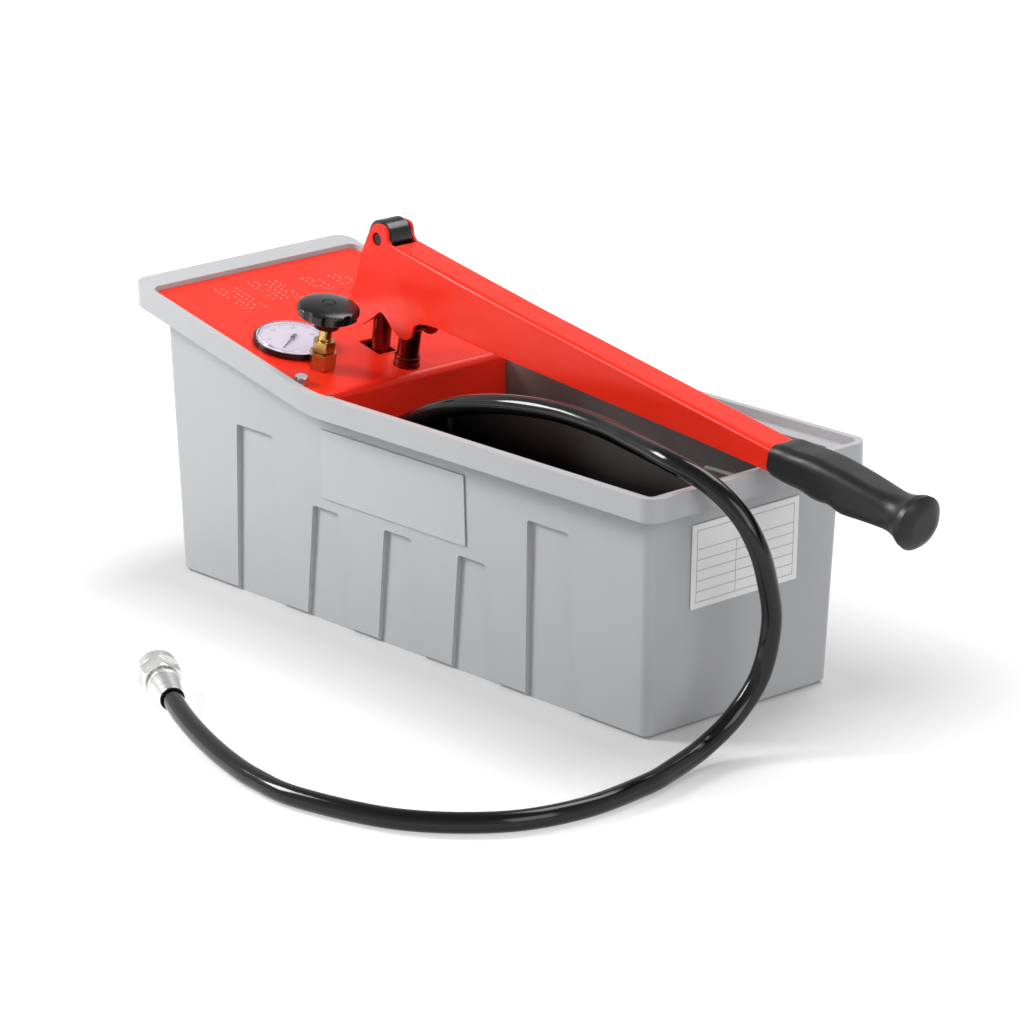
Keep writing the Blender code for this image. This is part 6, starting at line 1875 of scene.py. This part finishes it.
@dataclass
class Valve:
    """Release valve: brass body, gland and spindle under a scalloped black knob."""

    along: float = -0.0317
    across: float = -0.0557
    body_flats: float = 0.0165
    body_height: float = 0.0120
    shank: Pair = (0.0065, -0.022)
    bore: float = 0.0031
    gland_flats: float = 0.0135
    gland_top: float = 0.0202
    gland_neck: Pair = (0.0050, 0.005)
    spindle: Pair = (0.0028, 0.0440)
    collar: Pair = (0.0043, 0.0206)
    tip: Pair = (-0.0205, -0.0175)
    hub: Pair = (0.0085, 0.0296)
    hub_flare: float = 0.0035
    chamfer: float = 0.0006
    skirt_share: float = 0.9
    skirt_rise: float = 0.0014
    knob: Triple = (0.0209, 0.0378, 0.0478)
    rim_top: float = 0.0437
    scallops: int = 9
    scallop: Pair = (0.0062, 0.0252)
    cap_radius: float = 0.0042
    edge: float = 0.0003

    def hexagon(self, name: str, flats: float, low: float, high: float) -> Piece:
        """Turn down the corners of a hexagon bar at both ends.

        Args:
            name: The new object's name.
            flats: Distance across its flats.
            low: Bottom height.
            high: Top height.

        Returns:
            The bar about +Z.
        """
        crest = over_corners(flats)
        chamfer = 0.5 * (crest - 0.5 * flats)
        return cut(prism(name, 6, flats, low, high), turned("hex_chamfer", [
            (0.0, low), (crest - 2.0 * chamfer, low), (crest + CUT, low + chamfer + CUT * 0.5),
            (crest + CUT, high - chamfer - CUT * 0.5), (crest - 2.0 * chamfer, high),
            (0.0, high)]), Cut.INTERSECT)

    def body(self) -> Piece:
        """Cut the valve's body with its shank and stepped bore.

        Returns:
            The body about +Z.
        """
        radius, low = self.shank
        neck, depth = self.gland_neck
        body = self.hexagon("valve_hexagon", self.body_flats, GAP, self.body_height + GAP)
        cut(body, bar("valve_shank", radius, low, radius, 48), Cut.UNION)
        step = self.body_height - depth - GAP
        cut(body, turned("valve_bore", [
            (0.0, self.tip[0]), (self.bore, self.tip[0]), (self.bore, step), (neck + GAP, step),
            (neck + GAP, self.body_height + CUT), (0.0, self.body_height + CUT)], 40))
        return smooth(round_edges(tidy_flats(body), self.edge, 2, 28.0))

    def gland(self) -> Piece:
        """Cut the gland nut with its neck and bore.

        Returns:
            The gland nut about +Z.
        """
        low = self.body_height + 2.0 * GAP
        neck, depth = self.gland_neck
        foot, bore = self.body_height - depth, self.spindle[0] + GAP
        gland = self.hexagon("valve_gland_nut", self.gland_flats, low, self.gland_top)
        cut(gland, bar("gland_neck", neck, foot, low + depth, 40), Cut.UNION)
        cut(gland, bar("gland_bore", bore, foot - CUT, self.gland_top + CUT, 40))
        return smooth(round_edges(tidy_flats(gland), self.edge, 2, 28.0))

    def stem(self) -> Piece:
        """Turn the spindle with its pointed tip and its collar.

        Returns:
            The spindle about +Z.
        """
        radius, top = self.spindle
        wide, low = self.collar
        point, shoulder = self.tip
        high = self.hub[1] - GAP
        stem = turned("valve_spindle", [
            (0.0, point + GAP), (radius, shoulder), (radius, low), (wide, low), (wide, high), (radius, high),
            (radius, top), (0.0, top)], 40)
        return smooth(round_edges(stem, self.edge, 2, 35.0))

    def wheel(self) -> Piece:
        """Mould the knob: a domed disc with a scalloped rim on a hub.

        Returns:
            The knob about +Z.
        """
        reach, low, high = self.knob
        hub, foot = self.hub
        inner, top = self.spindle[0] + GAP, self.spindle[1] + GAP
        dome = [(reach * math.sin(angle), self.rim_top + (high - self.rim_top) * math.cos(angle))
                for angle in (QUARTER_TURN * step / 8 for step in range(8, 0, -1))]
        seat = [(radius, height) for radius, height in dome if radius > self.cap_radius + 2.0 * GAP]
        profile = [(inner, foot), (hub, foot), (hub + self.hub_flare, low), (self.skirt_share * reach, low),
                   (reach, low + self.skirt_rise), *seat, (self.cap_radius + GAP, high),
                   (self.cap_radius + GAP, top), (inner, top)]
        knob = turned("valve_knob", profile, 108, True)
        radius, distance = self.scallop
        for index in range(self.scallops):
            tool = bar("scallop_cutter", radius, low - CUT, high + CUT, 40)
            turn = Matrix.Rotation(FULL_TURN * index / self.scallops, 4, "Z")
            cut(knob, settle(tool, turn @ Matrix.Translation((distance, 0.0, 0.0))))
        return smooth(round_edges(tidy_flats(knob), 3.0 * self.edge, 3, 32.0), 40.0)

    def cap(self) -> Piece:
        """Turn the black cap over the spindle's end.

        Returns:
            The cap about +Z.
        """
        low, high = self.spindle[1] + 2.0 * GAP, self.knob[2]
        radius, chamfer = self.cap_radius, self.chamfer
        return smooth(turned("knob_cap", [
            (0.0, low), (radius, low), (radius, high - chamfer), (radius - chamfer, high),
            (0.0, high + 0.5 * GAP)], 40))

    def build(self) -> None:
        """Make the valve on the cover, its wheel and spindle on their own bodies."""
        place = on_cover(self.along, self.across)
        for piece, finish, body, slot, node in (
                (self.body(), TURNED_BRASS, "base", Slot.BRASS, "valve_body"),
                (self.gland(), TURNED_BRASS, "base", Slot.BRASS, "valve_gland"),
                (self.stem(), TURNED_BRASS, "valve_stem", Slot.BRASS, "valve_stem"),
                (self.wheel(), BLACK_PHENOLIC, "valve_wheel", Slot.BLACK_PLASTIC, "valve_wheel"),
                (self.cap(), BLACK_PHENOLIC, "valve_wheel", Slot.DARK_STEEL, "wheel_cap")):
            show(finish.dress(settle(piece, place), place), body, slot, node)


# Pressure gauge


@dataclass
class Gauge:
    """Pressure gauge: black case, white dial with plain numbers, needle and clear lens."""

    along: float = -0.0687
    across: float = -0.052
    bezel: Pair = (0.0265, 0.0046)
    case: Triple = (0.0228, -0.022, 0.0018)
    dial: Triple = (0.0247, 0.0030, 0.0006)
    lens: Triple = (0.0250, 0.0060, 0.0012)
    hub_hole: float = 0.0016
    stem_neck: float = 0.0042
    needle: Triple = (0.0185, 0.0060, 0.0026)
    needle_height: Pair = (0.0041, 0.0005)
    shaft: Pair = (0.0010, -0.0061)
    zero: float = math.radians(-57.0)
    sweep: float = math.radians(270.0)
    ticks: int = 50
    long_every: int = 5
    scale_ring: Pair = (0.0226, 0.0229)
    tick_end: float = 0.0228
    long_tick: Pair = (0.0195, 0.00025)
    short_tick: Pair = (0.0211, 0.00013)
    numbers: tuple[str, ...] = ("0", "20", "40", "60", "80", "100")
    number_size: float = 0.0036
    number_ring: float = 0.0164
    ink: float = 0.00005
    edge: float = 0.0005
    needle_edge: float = 0.00012
    roll: float = 0.0009

    def housing(self) -> Piece:
        """Turn the case with its rolled bezel.

        Returns:
            The case about +Z.
        """
        radius, floor, wall = self.case
        outer, top = self.bezel
        inner, dial = self.lens[0] + GAP, self.dial[1] - GAP
        bore = self.stem_neck + GAP
        case = turned("gauge_housing", [
            (bore, floor), (radius, floor), (radius, GAP), (outer, GAP), (outer, top), (inner, top),
            (inner, dial), (radius - wall, dial), (radius - wall, floor + wall),
            (bore, floor + wall)], 96, True)
        return smooth(round_edges(case, self.edge, 3, 40.0))

    def face(self) -> Piece:
        """Stamp the dial."""
        radius, low, thick = self.dial
        return smooth(tube("gauge_face", (self.hub_hole, radius), low, low + thick, 96))

    def marks(self) -> list[Piece]:
        """Print the ring, its ticks and the plain numbers.

        Returns:
            The ring with its ticks, and the numbers.
        """
        top = self.dial[1] + self.dial[2]
        low, high = top - self.ink, top + self.ink
        made = [tube("gauge_arc", self.scale_ring, low, high, 96)]
        for index in range(self.ticks + 1):
            inner, half = self.short_tick if index % self.long_every else self.long_tick
            tick = block("tick", (inner, -half, low), (self.tick_end, half, high))
            made.append(settle(tick, Matrix.Rotation(self.angle(index / self.ticks), 4, "Z")))
        return [joined(made, "gauge_ticks"), self.figures(top)]

    def angle(self, share: float) -> float:
        """Direction on the dial at a share of the needle's sweep."""
        return self.zero - self.sweep * share

    def figures(self, top: float) -> Piece:
        """Set the plain numbers round the dial, upright for the reader in front.

        Args:
            top: Height of the dial's face.

        Returns:
            The numbers as one piece.
        """
        made = []
        upright = self.zero - 0.5 * self.sweep
        for index, text in enumerate(self.numbers):
            bpy.ops.object.select_all(action="DESELECT")
            bpy.ops.object.text_add(location=(0.0, 0.0, 0.0))
            number = bpy.context.active_object
            number.data.body = text
            number.data.size = self.number_size
            number.data.extrude = self.ink
            number.data.align_x, number.data.align_y = "CENTER", "CENTER"
            bpy.ops.object.convert(target="MESH")
            angle = self.angle(index / (len(self.numbers) - 1))
            spot = (self.number_ring * math.cos(angle), self.number_ring * math.sin(angle), top)
            place = Matrix.Translation(spot) @ Matrix.Rotation(upright - QUARTER_TURN, 4, "Z")
            made.append(settle(name_piece(number, f"number_{index}"), place))
        return seal(joined(made, "gauge_numbers"))

    def pointer(self) -> Piece:
        """Cut the needle with its tail and hub.

        Returns:
            The needle at its zero.
        """
        length, tail, wide = self.needle
        low, thick = self.needle_height
        half = 0.5 * wide
        blade = drawn_line("gauge_pointer", [
            (length, 0.1 * half, low), (0.0, 0.6 * half, low), (-tail, half, low), (-tail, -half, low),
            (0.0, -0.6 * half, low), (length, -0.1 * half, low)], True)
        with editing(blade):
            bpy.ops.mesh.edge_face_add()
            extrude((0.0, 0.0, thick))
        seal(blade)
        radius, foot = self.shaft
        cut(blade, turned("needle_hub", [
            (0.0, foot), (radius, foot), (radius, low - GAP), (half + GAP, low - GAP),
            (half + GAP, low + thick + GAP), (0.5 * half, low + thick + 2.0 * GAP),
            (0.0, low + thick + 2.0 * GAP)], 40), Cut.UNION)
        round_edges(blade, self.needle_edge, 2, 40.0)
        return smooth(settle(blade, Matrix.Rotation(self.zero, 4, "Z")))

    def glass(self) -> Piece:
        """Press the clear lens with its stepped rim and slightly domed top.

        Returns:
            The lens about +Z.
        """
        radius, top, wall = self.lens
        low = self.dial[1] + self.dial[2] + GAP
        inner, roll = radius - wall, self.roll
        return smooth(turned("gauge_window", [
            (0.0, top - wall), (inner - roll, top - wall), (inner, top - wall - roll), (inner, low),
            (radius, low), (radius, top - roll), (radius - 0.3 * roll, top - 0.3 * roll),
            (radius - roll, top), (0.0, top)], 96), 40.0)

    def build(self) -> None:
        """Make the gauge on the cover and its needle on its own body."""
        place = on_cover(self.along, self.across)
        parts = [(self.housing(), BLACK_PHENOLIC, "base", Slot.BLACK_PLASTIC, ("gauge_case",)),
                 (self.face(), DIAL_ENAMEL, "base", Slot.DIAL, ("gauge_dial",)),
                 (self.pointer(), BLACK_INK, "gauge_needle", Slot.BLACK_PLASTIC, ("gauge_needle",)),
                 (self.glass(), CLEAR_ACRYLIC, "base", Slot.LENS, ("gauge_lens",))]
        parts += [(mark, BLACK_INK, "base", Slot.BLACK_PLASTIC, ()) for mark in self.marks()]
        for piece, finish, body, slot, nodes in parts:
            show(finish.dress(settle(piece, place), place), body, slot, *nodes)


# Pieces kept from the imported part


@dataclass
class Inner:
    """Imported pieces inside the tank, shown as they are in their own finishes."""

    finishes: tuple[tuple[Finish, tuple[str, ...]], ...] = (
        (PLATED_STEEL, ("cover_nut_near", "cover_nut_far", "piston_nut", "suction_ball", "delivery_ball",
                        "delivery_pipe", "lever_cross_bar", "hose_ferrule", "link_base_pin")),
        (CAST_ALUMINIUM, ("pump_head",)),
        (TURNED_BRASS, ("pump_cylinder", "piston", "foot_block", "delivery_union", "spring_tube",
                        "gauge_stem", "outlet_elbow")),
        (GRIP_RUBBER, ("rod_seal", "piston_seal", "face_washer")),
        (BLACK_PHENOLIC, ("strainer",)),
    )

    def build(self) -> None:
        """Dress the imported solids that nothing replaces."""
        for finish, names in self.finishes:
            for name in names:
                finish.dress(frame["nodes"][name])
                LOG.info("%s: packed solid in %s", name, finish.name)


def clear_start_up() -> None:
    """Remove what Blender's start-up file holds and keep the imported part."""
    kept = set(frame["nodes"].values()) | set(frame["bodies"].values())
    for item in [item for item in bpy.data.objects if item not in kept]:
        bpy.data.objects.remove(item, do_unlink=True)


def main() -> None:
    """Build the scene piece by piece."""
    logging.basicConfig(level=logging.INFO, format="%(name)s: %(message)s")
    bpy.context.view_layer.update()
    clear_start_up()
    Studio().build()
    end_pieces = HoseEnd().build()
    Hose().build(end_pieces)
    for assembly in (Tank(), Cover(), Panels(), Lever(), PumpTop(), Grip(), Valve(), Gauge(), Inner()):
        assembly.build()


if __name__ == "__main__":
    main()
